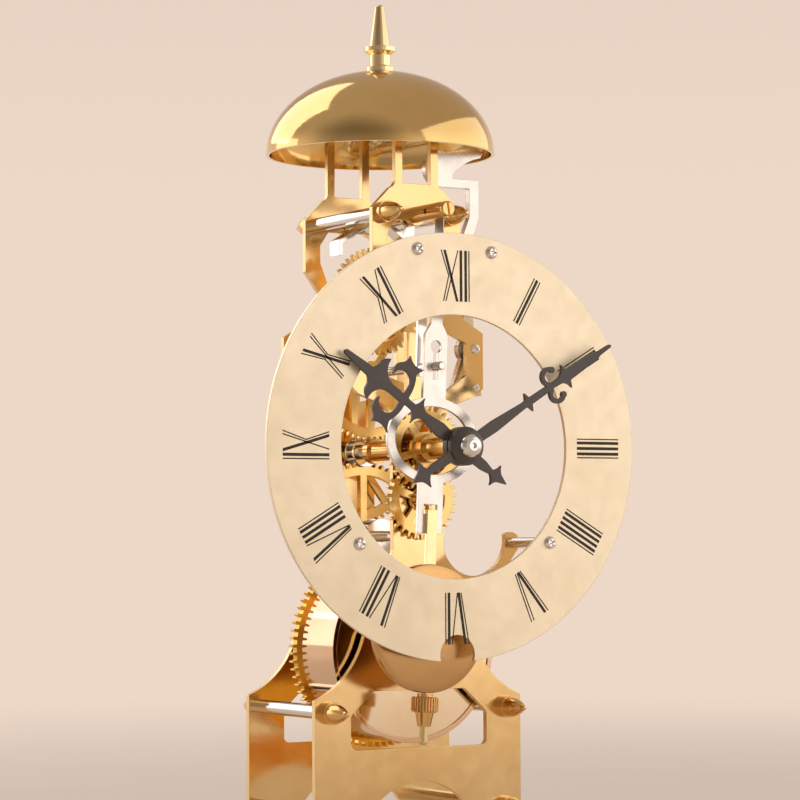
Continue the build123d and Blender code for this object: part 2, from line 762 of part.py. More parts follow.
thin_core = pivot_radius + 0.15
with BuildPart() as escape_arbor:
    lantern = lantern_profile(third_wheel_depth, train_wheel_thickness, escape_leaves, third_module, thin_core)
    turned([(pivot_front, 0), (pivot_front, pivot_radius), (arbor_front, pivot_radius),
            (arbor_front, slim_arbor_radius), (lantern[0][0], slim_arbor_radius)] + lantern
           + [(lantern[-1][0], slim_arbor_radius), (arbor_rear, slim_arbor_radius), (arbor_rear, pivot_radius),
              (pivot_rear, pivot_radius), (pivot_rear, 0)], z=escape_z)
    trundles(third_wheel_depth, train_wheel_thickness, escape_leaves, third_module, escape_z)
escape_arbor.part.label = "escape_arbor"
export_step(escape_arbor.part, "parts/escape_arbor.step")

# Third wheel and its arbor
with BuildPart() as third_wheel:
    crossed_wheel(wheel_corners(third_teeth, third_module, 90), third_wheel_depth, train_wheel_thickness, third_z,
                  third_teeth * third_module / 2 - rim_width, hub_radius, slim_arbor_radius + fit, 54)
third_wheel.part.label = "third_wheel"
export_step(third_wheel.part, "parts/third_wheel.step")

with BuildPart() as third_arbor:
    lantern = lantern_profile(centre_wheel_depth, train_wheel_thickness, third_leaves, centre_module, thin_core)
    turned([(pivot_front, 0), (pivot_front, pivot_radius), (arbor_front, pivot_radius),
            (arbor_front, slim_arbor_radius), (lantern[0][0], slim_arbor_radius)] + lantern
           + [(lantern[-1][0], pivot_radius), (pivot_rear, pivot_radius), (pivot_rear, 0)], z=third_z)
    trundles(centre_wheel_depth, train_wheel_thickness, third_leaves, centre_module, third_z)
third_arbor.part.label = "third_arbor"
export_step(third_arbor.part, "parts/third_arbor.step")

# Centre wheel, arbor and strike cam
with BuildPart() as centre_wheel:
    crossed_wheel(wheel_corners(centre_teeth, centre_module, 90), centre_wheel_depth, train_wheel_thickness, 0,
                  centre_teeth * centre_module / 2 - rim_width, hub_radius, centre_body_radius + fit, 18)
centre_wheel.part.label = "centre_wheel"
export_step(centre_wheel.part, "parts/centre_wheel.step")

cannon_back = plate_depth - 0.5
cannon_front = cannon_back - cannon_length
washer_back = plate_depth - 0.1
with BuildPart() as centre_arbor:
    lantern = lantern_profile(intermediate_wheel_depth, intermediate_wheel_thickness, centre_leaves,
                              intermediate_module, centre_body_radius)
    thread_tip = -hand_nut_reach + 0.9
    turned([(thread_tip, 0), (thread_tip, hand_thread_radius), (minute_hand_depth, hand_thread_radius),
            (minute_hand_depth, cannon_seat_radius), (cannon_back, cannon_seat_radius),
            (cannon_back, centre_bearing_radius), (arbor_front, centre_bearing_radius),
            (arbor_front, centre_body_radius), (lantern[0][0], centre_body_radius)] + lantern
           + [(lantern[-1][0], centre_body_radius), (arbor_rear, centre_body_radius), (arbor_rear, pivot_radius),
              (pivot_rear, pivot_radius), (pivot_rear, 0)])
    trundles(intermediate_wheel_depth, intermediate_wheel_thickness, centre_leaves, intermediate_module, 0)
centre_arbor.part.label = "centre_arbor"
export_step(centre_arbor.part, "parts/centre_arbor.step")

with BuildPart() as centre_collet:
    collet_back = third_wheel_depth - collet_lead
    flange_front = collet_back - collet_flange
    turned([(collet_back - collet_length, centre_body_radius + fit), (collet_back - collet_length, collet_radius),
            (flange_front, collet_radius), (flange_front, collet_flange_radius),
            (collet_back, collet_flange_radius), (collet_back, centre_body_radius + fit)])
centre_collet.part.label = "centre_collet"
export_step(centre_collet.part, "parts/centre_collet.step")

with BuildPart() as strike_cam:
    with BuildSketch(upright(strike_depth + strike_thickness)):
        with BuildLine():
            steps = 12
            growth = (cam_radius - cam_least_radius) / steps
            rim = [(cam_least_radius + growth * step, radians(300 * step / steps)) for step in range(steps + 1)]
            Spline(*[(radius * cos(angle), radius * sin(angle)) for radius, angle in rim])
            Line((cam_radius * cos(rim[-1][1]), cam_radius * sin(rim[-1][1])), (cam_least_radius, 0))
        make_face()
        Circle(cam_least_radius)
        Circle(centre_body_radius + fit, mode=Mode.SUBTRACT)
    extrude(amount=strike_thickness)
strike_cam.part.label = "strike_cam"
export_step(strike_cam.part, "parts/strike_cam.step")

# Intermediate wheel and its arbor
with BuildPart() as intermediate_wheel:
    crossed_wheel(wheel_corners(intermediate_teeth, intermediate_module, 90), intermediate_wheel_depth,
                  intermediate_wheel_thickness, intermediate_z,
                  intermediate_teeth * intermediate_module / 2 - rim_width, hub_radius, stout_arbor_radius + fit)
intermediate_wheel.part.label = "intermediate_wheel"
export_step(intermediate_wheel.part, "parts/intermediate_wheel.step")

with BuildPart() as intermediate_arbor:
    lantern = lantern_profile(great_wheel_depth, great_wheel_thickness, intermediate_leaves, barrel_module,
                              stout_arbor_radius)
    turned([(pivot_front, 0), (pivot_front, pivot_radius), (arbor_front, pivot_radius),
            (arbor_front, stout_arbor_radius), (lantern[0][0], stout_arbor_radius)] + lantern
           + [(lantern[-1][0], stout_arbor_radius), (arbor_rear, stout_arbor_radius), (arbor_rear, pivot_radius),
              (pivot_rear, pivot_radius), (pivot_rear, 0)], z=intermediate_z)
    trundles(great_wheel_depth, great_wheel_thickness, intermediate_leaves, barrel_module, intermediate_z)
intermediate_arbor.part.label = "intermediate_arbor"
export_step(intermediate_arbor.part, "parts/intermediate_arbor.step")

# Barrel: great wheel, drum and cap turn on the winding arbor
with BuildPart() as great_wheel:
    crossed_wheel(wheel_corners(great_teeth, barrel_module, 90), great_wheel_depth, great_wheel_thickness, barrel_z,
                  drum_radius - drum_wall, drum_radius - drum_wall + rim_width / 2, barrel_bearing_radius + play)
great_wheel.part.label = "great_wheel"
export_step(great_wheel.part, "parts/great_wheel.step")

with BuildPart() as barrel_drum:
    turned([(drum_front_depth, drum_radius - drum_wall), (drum_front_depth, drum_radius),
            (great_wheel_depth, drum_radius), (great_wheel_depth, drum_radius - drum_wall)], z=barrel_z)
barrel_drum.part.label = "barrel_drum"
export_step(barrel_drum.part, "parts/barrel_drum.step")

with BuildPart() as barrel_cap:
    cap_front = drum_front_depth + 0.4
    turned([(cap_front, barrel_bearing_radius + play), (cap_front, drum_radius - drum_wall - fit),
            (cap_front + drum_cap_thickness, drum_radius - drum_wall - fit),
            (cap_front + drum_cap_thickness, barrel_bearing_radius + play)], z=barrel_z)
barrel_cap.part.label = "barrel_cap"
export_step(barrel_cap.part, "parts/barrel_cap.step")

with BuildPart() as barrel_arbor:
    core_front = cap_front + drum_cap_thickness + end_shake
    square_depth = rear_back + ratchet_thickness + 2 * clearance
    turned([(pivot_front, 0), (pivot_front, barrel_front_pivot_radius), (arbor_front, barrel_front_pivot_radius),
            (arbor_front, barrel_bearing_radius), (core_front, barrel_bearing_radius),
            (core_front, barrel_core_radius), (great_wheel_depth - end_shake, barrel_core_radius),
            (great_wheel_depth - end_shake, barrel_bearing_radius), (arbor_rear, barrel_bearing_radius),
            (arbor_rear, barrel_rear_pivot_radius), (square_depth, barrel_rear_pivot_radius), (square_depth, 0)],
           z=barrel_z)
    with BuildSketch(upright(rear_back + winding_reach, z=barrel_z)):
        Rectangle(winding_square, winding_square)
    extrude(amount=rear_back + winding_reach - square_depth)
barrel_arbor.part.label = "barrel_arbor"
export_step(barrel_arbor.part, "parts/barrel_arbor.step")

# Ratchet and click on the back of the rear plate
ratchet_depth = rear_back + clearance
with BuildPart() as ratchet_wheel:
    with BuildSketch(upright(ratchet_depth + ratchet_thickness, z=barrel_z)):
        with BuildLine():
            Polyline(*saw_corners(ratchet_teeth, ratchet_radius, ratchet_tooth_height, 1), close=True)
        make_face()
        Circle(barrel_rear_pivot_radius + fit, mode=Mode.SUBTRACT)
    extrude(amount=ratchet_thickness)
ratchet_wheel.part.label = "ratchet_wheel"
export_step(ratchet_wheel.part, "parts/ratchet_wheel.step")

with BuildPart() as click:
    with BuildSketch(upright(ratchet_depth + ratchet_thickness)):
        with Locations((-click_width, click_z)):
            Circle(click_boss_radius)
        with Locations((-click_nose_width, barrel_z + click_nose_rise)):
            Circle(click_nose_radius)
        make_hull()
        with Locations((-click_width, click_z)):
            Circle(click_screw_radius + play, mode=Mode.SUBTRACT)
    extrude(amount=ratchet_thickness)
click.part.label = "click"
export_step(click.part, "parts/click.step")

click_head_depth = ratchet_depth + ratchet_thickness + 0.1
with BuildPart() as click_screw:
    turned([(rear_face, 0), (rear_face, 0.75 * click_screw_radius), (rear_back, 0.75 * click_screw_radius),
            (rear_back, click_screw_radius), (click_head_depth, click_screw_radius),
            (click_head_depth, click_screw_head_radius),
            (click_head_depth + 0.6 * click_screw_head, click_screw_head_radius),
            (click_head_depth + click_screw_head, 0.8 * click_screw_head_radius),
            (click_head_depth + click_screw_head, 0)], -click_width, click_z)
click_screw.part.label = "click_screw"
export_step(click_screw.part, "parts/click_screw.step")

spring_root = (-click_spring_width, barrel_z + click_spring_rise)
with BuildPart() as click_spring:
    with BuildSketch(upright(rear_back + ratchet_thickness)):
        spring_end = (-click_nose_width - 2.6, barrel_z + click_nose_rise + click_nose_radius + click_spring_lift)
        with BuildLine():
            SagittaArc(spring_root, spring_end, 1.4)
        trace(line_width=click_spring_wire)
        with Locations(spring_root):
            Circle(click_screw_head_radius)
            Circle(0.75 * click_screw_radius + fit, mode=Mode.SUBTRACT)
    extrude(amount=ratchet_thickness)
click_spring.part.label = "click_spring"
export_step(click_spring.part, "parts/click_spring.step")

with BuildPart() as click_spring_screw:
    spring_head = rear_back + ratchet_thickness
    turned([(rear_face, 0), (rear_face, 0.75 * click_screw_radius), (spring_head, 0.75 * click_screw_radius),
            (spring_head, click_screw_head_radius - 0.2), (spring_head + click_screw_head, 1.6),
            (spring_head + click_screw_head, 0)], *spring_root)
click_spring_screw.part.label = "click_spring_screw"
export_step(click_spring_screw.part, "parts/click_spring_screw.step")

# Motion work behind the dial
with BuildPart() as friction_washer:
    turned([(washer_back - washer_thickness, centre_bearing_radius + fit), (washer_back - washer_thickness, washer_radius),
            (washer_back, washer_radius), (washer_back, centre_bearing_radius + fit)])
friction_washer.part.label = "friction_washer"
export_step(friction_washer.part, "parts/friction_washer.step")

minute_hand_back = minute_hand_depth + hand_thickness
with BuildPart() as cannon_pinion:
    with BuildSketch(upright(cannon_back)):
        with BuildLine():
            Polyline(*pinion_corners(cannon_leaves, motion_module, -90 + 180 / cannon_leaves), close=True)
        make_face()
        Circle(cannon_seat_radius + fit, mode=Mode.SUBTRACT)
    extrude(amount=cannon_length)
    turned([(cannon_front, cannon_seat_radius + fit), (cannon_front, cannon_tube_radius),
            (minute_hand_back, cannon_tube_radius), (minute_hand_back, minute_hand_seat_radius),
            (minute_hand_depth, minute_hand_seat_radius), (minute_hand_depth, cannon_seat_radius + fit)])
cannon_pinion.part.label = "cannon_pinion"
export_step(cannon_pinion.part, "parts/cannon_pinion.step")

with BuildPart() as minute_wheel:
    crossed_wheel(wheel_corners(minute_wheel_teeth, motion_module, 90), minute_wheel_depth, motion_wheel_thickness,
                  -motion_distance, minute_wheel_teeth * motion_module / 2 - rim_width, hub_radius,
                  minute_pinion_seat_radius + fit)
minute_wheel.part.label = "minute_wheel"
export_step(minute_wheel.part, "parts/minute_wheel.step")

with BuildPart() as minute_wheel_pinion:
    with BuildSketch(upright(minute_wheel_depth - 0.2, z=-motion_distance)):
        with BuildLine():
            Polyline(*pinion_corners(minute_pinion_leaves, motion_module, 90 + 180 / minute_pinion_leaves), close=True)
        make_face()
        Circle(stud_radius + play, mode=Mode.SUBTRACT)
    extrude(amount=minute_wheel_depth - 0.2 - minute_pinion_depth)
    seat_back = minute_wheel_depth + motion_wheel_thickness + 0.1
    turned([(minute_wheel_depth - 0.2, stud_radius + play), (minute_wheel_depth - 0.2, minute_pinion_seat_radius),
            (seat_back, minute_pinion_seat_radius), (seat_back, stud_radius + play)], z=-motion_distance)
minute_wheel_pinion.part.label = "minute_wheel_pinion"
export_step(minute_wheel_pinion.part, "parts/minute_wheel_pinion.step")

with BuildPart() as minute_wheel_stud:
    stud_front = minute_pinion_depth - end_shake
    turned([(stud_front - stud_head, 0), (stud_front - stud_head, 0.8 * stud_head_radius),
            (stud_front - 0.6 * stud_head, stud_head_radius), (stud_front, stud_head_radius),
            (stud_front, stud_radius), (front_back, stud_radius), (front_back, 0)], z=-motion_distance)
minute_wheel_stud.part.label = "minute_wheel_stud"
export_step(minute_wheel_stud.part, "parts/minute_wheel_stud.step")

hour_hand_back = hour_hand_depth + hand_thickness
with BuildPart() as hour_wheel:
    crossed_wheel(wheel_corners(hour_wheel_teeth, motion_module, -90), hour_wheel_depth, motion_wheel_thickness, 0,
                  hour_wheel_teeth * motion_module / 2 - rim_width, hour_collar_radius + 0.6,
                  cannon_tube_radius + play, 54)
    turned([(hour_wheel_depth, cannon_tube_radius + play), (hour_wheel_depth, hour_collar_radius),
            (hour_collar_depth, hour_collar_radius), (hour_collar_depth, hour_pipe_radius),
            (hour_hand_back, hour_pipe_radius), (hour_hand_back, hour_hand_seat_radius),
            (hour_boss_depth, hour_hand_seat_radius), (hour_boss_depth, cannon_tube_radius + play)])
hour_wheel.part.label = "hour_wheel"
export_step(hour_wheel.part, "parts/hour_wheel.step")

# Hands, each drawn along its own axis and mirrored
with BuildPart() as hour_hand:
    with BuildSketch(upright(hour_hand_back, lean=hour_angle)):
        with BuildLine():
            Polyline((0, 3.0), (1.5, 4.0), (1.9, 7.4), (1.0, 13.0))
            ThreePointArc((1.0, 13.0), (2.2, 14.9), (3.85, 15.5))
            ThreePointArc((3.85, 15.5), (2.2, 16.0), (0.9, 17.0))
            Polyline((0.9, 17.0), (0.85, 18.8), (1.2, 20.2), (1.1, 24.6))
            ThreePointArc((1.1, 24.6), (2.5, 28.0), (6.1, 29.2))
            ThreePointArc((6.1, 29.2), (5.3, 30.6), (4.0, 31.3))
            ThreePointArc((4.0, 31.3), (2.4, 31.6), (1.3, 32.6))
            Polyline((1.3, 32.6), (1.25, 34.0), (0.6, 41.0), (0, 41.4))
            mirror(about=Plane.YZ)
        make_face()
        for side in (-1, 1):
            root = (side * 1.1, 19.6)
            low_bay = (side * 7.1, 21.0)
            low_thorn = (side * 9.8, 19.6)
            high_thorn = (side * 10.2, 25.1)
            high_bay = (side * 7.8, 25.8)
            hook = (side * 3.5, 26.6)
            inner_root = (side * 3.0, 21.1)
            with BuildLine():
                ThreePointArc(root, (side * 4.4, 19.9), low_bay)
                ThreePointArc(low_bay, (side * 8.3, 20.6), low_thorn)
                ThreePointArc(low_thorn, (side * 8.9, 22.3), high_thorn)
                ThreePointArc(high_thorn, (side * 8.9, 25.1), high_bay)
                ThreePointArc(high_bay, (side * 5.6, 27.2), hook)
                ThreePointArc(hook, (side * 6.1, 23.7), inner_root)
                Polyline(inner_root, (side * 0.6, 21.2), (side * 0.6, 19.9), root)
            make_face()
        with BuildLine():
            Polyline((0, -3.0), (1.5, -4.0), (1.3, -8.5), (0.7, -11.2))
            ThreePointArc((0.7, -11.2), (1.7, -12.25), (3.1, -12.8))
            ThreePointArc((3.1, -12.8), (1.95, -13.35), (1.1, -14.2))
            Polyline((1.1, -14.2), (0, -16.9))
            mirror(about=Plane.YZ)
        make_face()
        Circle(hand_boss_radius)
        Circle(hour_hand_seat_radius + fit, mode=Mode.SUBTRACT)
    extrude(amount=hand_thickness)
    turned([(hour_hand_depth, hour_hand_seat_radius + fit), (hour_hand_depth, hand_boss_radius),
            (hour_boss_depth, hand_boss_radius), (hour_boss_depth, hour_hand_seat_radius + fit)])
hour_hand.part.label = "hour_hand"
export_step(hour_hand.part, "parts/hour_hand.step")

with BuildPart() as minute_hand:
    with BuildSketch(upright(minute_hand_back, lean=minute_angle)):
        with BuildLine():
            Polyline((0, 3.0), (1.4, 4.0), (1.55, 10.0), (0.85, 20.6), (0.9, 21.6), (2.65, 22.4), (0.95, 23.2),
                     (0.85, 29.0), (0.7, 31.0), (0.85, 33.0))
            ThreePointArc((0.85, 33.0), (1.7, 35.2), (3.4, 36.1))
            Polyline((3.4, 36.1), (1.5, 36.8), (1.1, 47.2), (0.65, 48.1), (0.45, 52.2), (0, 52.7))
            mirror(about=Plane.YZ)
        make_face()
        with BuildLine():
            CenterArc((2.5, 31.3), 2.0, 200, 215)
        trace(line_width=1.2)
        with BuildLine():
            CenterArc((-2.5, 31.3), 2.0, 340, -215)
        trace(line_width=1.2)
        with Locations((3.65, 32.95), (-3.65, 32.95)):
            Circle(0.85)
        with BuildLine():
            Polyline((0, -3.0), (1.4, -4.0), (1.2, -10.2), (0.8, -12.8))
            ThreePointArc((0.8, -12.8), (2.0, -13.75), (3.7, -14.3))
            ThreePointArc((3.7, -14.3), (2.25, -14.95), (1.3, -15.8))
            Polyline((1.3, -15.8), (0, -18.5))
            mirror(about=Plane.YZ)
        make_face()
        Circle(hand_boss_radius)
        Circle(minute_hand_seat_radius + fit, mode=Mode.SUBTRACT)
    extrude(amount=hand_thickness)
    turned([(minute_hand_depth, minute_hand_seat_radius + fit), (minute_hand_depth, hand_boss_radius),
            (minute_hand_depth - 0.6, hand_boss_radius - 0.2), (minute_dome_depth + 0.3, hand_boss_radius - 1.2),
            (minute_dome_depth, hand_boss_radius - 2.0), (minute_dome_depth, minute_hand_seat_radius + fit)])
minute_hand.part.label = "minute_hand"
export_step(minute_hand.part, "parts/minute_hand.step")

with BuildPart() as hand_nut:
    nut_seat = minute_dome_depth
    turned([(-hand_nut_reach, 0), (-hand_nut_reach, 0.45 * hand_nut_radius),
            (-hand_nut_reach + 0.45, 0.83 * hand_nut_radius), (-hand_nut_reach + 1.1, hand_nut_radius),
            (nut_seat, hand_nut_radius), (nut_seat, hand_thread_radius + fit),
            (thread_tip - fit, hand_thread_radius + fit), (thread_tip - fit, 0)])
hand_nut.part.label = "hand_nut"
export_step(hand_nut.part, "parts/hand_nut.step")

# Strike: hammer on its stud, stop pin and spring
strike_back = strike_depth + strike_thickness
hammer_pivot = (hammer_pivot_width, hammer_pivot_height)
with BuildPart() as hammer:
    half_arm = hammer_arm_width / 2
    elbow_x = hammer_pivot_width + 0.15
    head_top = hammer_head_foot + 12.0
    heel_left = hammer_stop_width + hammer_stop_radius + hammer_heel_gap
    with BuildSketch(upright(strike_back)):
        with BuildLine():
            Polyline((hammer_pivot_width - half_arm, hammer_pivot_height), (elbow_x - half_arm, hammer_elbow_height),
                     (hammer_crank_width - 1.4, hammer_crank_height), (hammer_crank_width - 1.4, hammer_head_foot),
                     (9.4, hammer_head_foot))
            ThreePointArc((9.4, hammer_head_foot), (4.6, hammer_head_foot + 5.3), (8.2, hammer_head_foot + 9.8))
            SagittaArc((8.2, hammer_head_foot + 9.8), (17.5, head_top), -1.2)
            Polyline((17.5, head_top), (22.6, head_top - 2.0), (21.8, head_top - 3.6))
            SagittaArc((21.8, head_top - 3.6), (13.1, hammer_head_foot + 3.5), -0.8)
            Polyline((13.1, hammer_head_foot + 3.5), (13.1, hammer_head_foot + hammer_head_bar),
                     (hammer_crank_width + 1.5, hammer_head_foot + hammer_head_bar),
                     (hammer_crank_width + 1.5, hammer_crank_height), (elbow_x + half_arm, hammer_elbow_height),
                     (hammer_pivot_width + half_arm, hammer_pivot_height), (hammer_pivot_width - half_arm, hammer_pivot_height))
        make_face()
        with Locations(hammer_pivot):
            Circle(hammer_boss_radius)
        tail_end = (hammer_tail_reach + hammer_tail_width / 2, 0)
        with BuildLine():
            Line(hammer_pivot, tail_end)
        trace(line_width=hammer_tail_width)
        with Locations(tail_end):
            Circle(hammer_tail_width / 2)
        with Locations((heel_left + hammer_tail_width / 2, (hammer_pivot_height + hammer_stop_height - 2) / 2)):
            Rectangle(hammer_tail_width, hammer_pivot_height - hammer_stop_height + 2)
        with Locations(hammer_pivot):
            Circle(hammer_stud_radius + play, mode=Mode.SUBTRACT)
    extrude(amount=strike_thickness)
hammer.part.label = "hammer"
export_step(hammer.part, "parts/hammer.step")

with BuildPart() as hammer_stud:
    turned([(plate_depth, 0), (plate_depth, hammer_stud_radius), (front_back, hammer_stud_radius),
            (front_back, hammer_stud_head_radius), (strike_depth - end_shake, hammer_stud_head_radius),
            (strike_depth - end_shake, hammer_stud_radius), (strike_back + end_shake, hammer_stud_radius),
            (strike_back + end_shake, hammer_stud_head_radius), (strike_back + end_shake + 0.9, hammer_stud_head_radius),
            (strike_back + end_shake + 0.9, 0)], *hammer_pivot)
hammer_stud.part.label = "hammer_stud"
export_step(hammer_stud.part, "parts/hammer_stud.step")

with BuildPart() as hammer_stop:
    turned([(plate_depth, 0), (plate_depth, hammer_stop_radius), (strike_back + 1, hammer_stop_radius),
            (strike_back + 1, 0)], hammer_stop_width, hammer_stop_height)
hammer_stop.part.label = "hammer_stop"
export_step(hammer_stop.part, "parts/hammer_stop.step")

with BuildPart() as hammer_spring:
    turned([(front_back, 0), (front_back, spring_post_radius), (strike_back, spring_post_radius), (strike_back, 0)],
           spring_post_width, spring_post_height)
    with BuildSketch(upright(strike_depth + 1.5)):
        with BuildLine():
            reach = hammer_pivot_width - half_arm - 0.35 - spring_wire / 2
            SagittaArc((spring_post_width, spring_post_height), (reach, spring_tip_height), 1.2)
        trace(line_width=spring_wire)
    extrude(amount=1.0)
hammer_spring.part.label = "hammer_spring"
export_step(hammer_spring.part, "parts/hammer_spring.step")

# Anchor, its arbor and the crutch, leaning with the pendulum
with BuildPart() as anchor:
    with BuildSketch(upright(anchor_depth + anchor_width, z=anchor_height, lean=rock)):
        for side in (-1, 1):
            with BuildLine():
                FilletPolyline((0, anchor_strip), (side * anchor_bend_width, -anchor_bend_drop),
                               (side * pallet_width, -pallet_drop), radius=1.2)
            trace(line_width=anchor_strip)
        Circle(anchor_hub_radius)
        Circle(stout_arbor_radius + fit, mode=Mode.SUBTRACT)
    extrude(amount=anchor_width)
anchor.part.label = "anchor"
export_step(anchor.part, "parts/anchor.step")

with BuildPart() as anchor_arbor:
    turned([(pivot_front + clearance, 0), (pivot_front + clearance, pivot_radius), (arbor_front, pivot_radius),
            (arbor_front, stout_arbor_radius), (arbor_rear, stout_arbor_radius), (arbor_rear, pivot_radius),
            (pivot_rear, pivot_radius), (pivot_rear, 0)], z=anchor_height)
anchor_arbor.part.label = "anchor_arbor"
export_step(anchor_arbor.part, "parts/anchor_arbor.step")

with BuildPart() as crutch:
    with BuildSketch(sideways(z=anchor_height, lean=rock)):
        with BuildLine():
            FilletPolyline((crutch_rear_depth, 0), (crutch_rear_depth, -crutch_bend_drop),
                           (crutch_front_depth, -crutch_front_drop), (crutch_front_depth, -crutch_reach - 2.3),
                           radius=1.5)
        trace(line_width=crutch_strip)
    extrude(amount=crutch_width / 2, both=True)
    with BuildSketch(upright(crutch_rear_depth + crutch_strip / 2, z=anchor_height, lean=rock)):
        Circle(anchor_hub_radius)
    extrude(amount=crutch_strip)
    with BuildSketch(upright(crutch_rear_depth + crutch_strip, z=anchor_height)):
        Circle(stout_arbor_radius + fit)
    extrude(amount=2 * crutch_strip, mode=Mode.SUBTRACT)
    lean_plane = upright(0, z=anchor_height, lean=rock)
    pin_place = lean_plane.from_local_coords((0, -crutch_reach, 0))
    turned([(crutch_pin_reach, 0), (crutch_pin_reach, 0.7 * crutch_pin_radius),
            (crutch_pin_reach + 0.4, crutch_pin_radius), (leader_front - 0.2, crutch_pin_radius),
            (leader_front - 0.2, crutch_pin_neck), (leader_back + 0.2, crutch_pin_neck),
            (leader_back + 0.2, crutch_pin_radius), (crutch_front_depth, crutch_pin_radius),
            (crutch_front_depth, 0)], pin_place.X, pin_place.Z - dial_height)
crutch.part.label = "crutch"
export_step(crutch.part, "parts/crutch.step")

# Suspension: post on the front plate, screws, strip and block
with BuildPart() as suspension_post:
    screw_hole = suspension_screw_radius + fit
    screw_end = post_front_depth + suspension_screw_length + clearance
    pivot_end = pivot_front
    turned([(post_front_depth, screw_hole), (post_front_depth, post_body_radius), (plate_depth, post_body_radius),
            (plate_depth, post_seat_radius), (front_back, post_seat_radius), (front_back, pivot_radius + play),
            (pivot_end, pivot_radius + play), (pivot_end, 0), (screw_end, 0), (screw_end, screw_hole)],
           z=anchor_height)
    with BuildSketch(upright(strip_front + suspension_strip_width + 0.2, z=anchor_height - post_body_radius)):
        Rectangle(strip_slit, 2 * (suspension_height - anchor_height + post_body_radius + 0.2))
    extrude(amount=suspension_strip_width + 0.4, mode=Mode.SUBTRACT)
    with BuildSketch(Plane.YZ):
        with Locations((dial_y + clamp_screw_depth, dial_height + anchor_height)):
            Circle(clamp_screw_radius + fit)
    extrude(amount=2 * post_body_radius, both=True, mode=Mode.SUBTRACT)
suspension_post.part.label = "suspension_post"
export_step(suspension_post.part, "parts/suspension_post.step")

with BuildPart() as suspension_screw:
    screw_head_front = post_front_depth - suspension_screw_head
    turned([(screw_head_front, 0), (screw_head_front, 0.85 * suspension_screw_head_radius),
            (screw_head_front + 0.3, suspension_screw_head_radius), (post_front_depth, suspension_screw_head_radius),
            (post_front_depth, suspension_screw_radius),
            (post_front_depth + suspension_screw_length, suspension_screw_radius),
            (post_front_depth + suspension_screw_length, 0)], z=anchor_height)
suspension_screw.part.label = "suspension_screw"
export_step(suspension_screw.part, "parts/suspension_screw.step")

with BuildPart() as clamp_screw:
    with BuildSketch(Plane.YZ):
        with Locations((dial_y + clamp_screw_depth, dial_height + anchor_height)):
            Circle(clamp_screw_radius)
    extrude(amount=post_body_radius, both=True)
clamp_screw.part.label = "clamp_screw"
export_step(clamp_screw.part, "parts/clamp_screw.step")

with BuildPart() as suspension_spring:
    with BuildSketch(upright(strip_front + suspension_strip_width, z=suspension_height, lean=swing)):
        with Locations((0, -(block_top + 2) / 2)):
            Rectangle(suspension_strip, block_top + 2)
    extrude(amount=suspension_strip_width)
suspension_spring.part.label = "suspension_spring"
export_step(suspension_spring.part, "parts/suspension_spring.step")

with BuildPart() as spring_block:
    with BuildSketch(upright(suspension_depth + block_depth / 2, z=suspension_height, lean=swing)):
        with Locations((0, -(block_top + block_foot) / 2)):
            Rectangle(2 * block_half_width, block_foot - block_top)
        with Locations((0, -block_top)):
            Rectangle(suspension_strip + 2 * fit, 2 * (2 + fit), mode=Mode.SUBTRACT)
    extrude(amount=block_depth)
spring_block.part.label = "spring_block"
export_step(spring_block.part, "parts/spring_block.step")

# Pendulum leader with its ring round the hand centre
with BuildPart() as pendulum_leader:
    with BuildSketch(upright(leader_back, z=suspension_height, lean=swing)):
        shoulder_foot = leader_shoulder + leader_shoulder_height
        with BuildLine():
            Polyline((0, -block_foot), (leader_top_width / 2, -block_foot), (leader_top_width / 2, -leader_shoulder),
                     (leader_width / 2, -shoulder_foot), (leader_width / 2, -ring_drop), (0, -ring_drop))
            mirror(about=Plane.YZ)
        make_face()
        with Locations((0, -(ring_drop + leader_foot) / 2)):
            Rectangle(leader_tail_width, leader_foot - ring_drop)
        with Locations((0, -ring_drop)):
            Ellipse(ring_half_width, ring_half_height)
            Ellipse(ring_half_width - ring_band, ring_half_height - ring_band, mode=Mode.SUBTRACT)
        with Locations((0, -keyhole_drop)):
            Circle(keyhole_radius, mode=Mode.SUBTRACT)
        with Locations((0, -(keyhole_drop + slot_foot) / 2)):
            Rectangle(slot_width, slot_foot - keyhole_drop, mode=Mode.SUBTRACT)
        with Locations((0, -hook_window_drop)):
            Rectangle(hook_window_width, hook_window_height, mode=Mode.SUBTRACT)
    extrude(amount=leader_thickness)
pendulum_leader.part.label = "pendulum_leader"
export_step(pendulum_leader.part, "parts/pendulum_leader.step")

# Rod that hooks through the leader, bob and rating nut
hook_foot = hook_window_drop + hook_window_height / 2 - fit
hook_top = hook_foot - hook_height
with BuildPart() as pendulum_rod:
    with BuildSketch(sideways(z=suspension_height, lean=swing)):
        rod_front = leader_front - rod_thickness
        lip_front = leader_back + 0.1
        with BuildLine():
            Polyline((rod_front, -hook_top), (lip_front + rod_thickness, -hook_top),
                     (lip_front + rod_thickness, -hook_top - hook_lip), (lip_front, -hook_top - hook_lip),
                     (lip_front, -hook_foot), (leader_front, -hook_foot), (leader_front, -rod_strip_foot),
                     (rod_front, -rod_strip_foot), close=True)
        make_face()
    extrude(amount=rod_width / 2, both=True)
    spun([(0, -rod_strip_foot + 1), (rod_thickness / 2 - 0.05, -rod_strip_foot + 1), (rod_radius, -rod_strip_foot),
          (rod_radius, -rod_foot + 0.6), (rod_radius - 0.4, -rod_foot), (0, -rod_foot)],
         rod_depth, suspension_height, swing)
pendulum_rod.part.label = "pendulum_rod"
export_step(pendulum_rod.part, "parts/pendulum_rod.step")

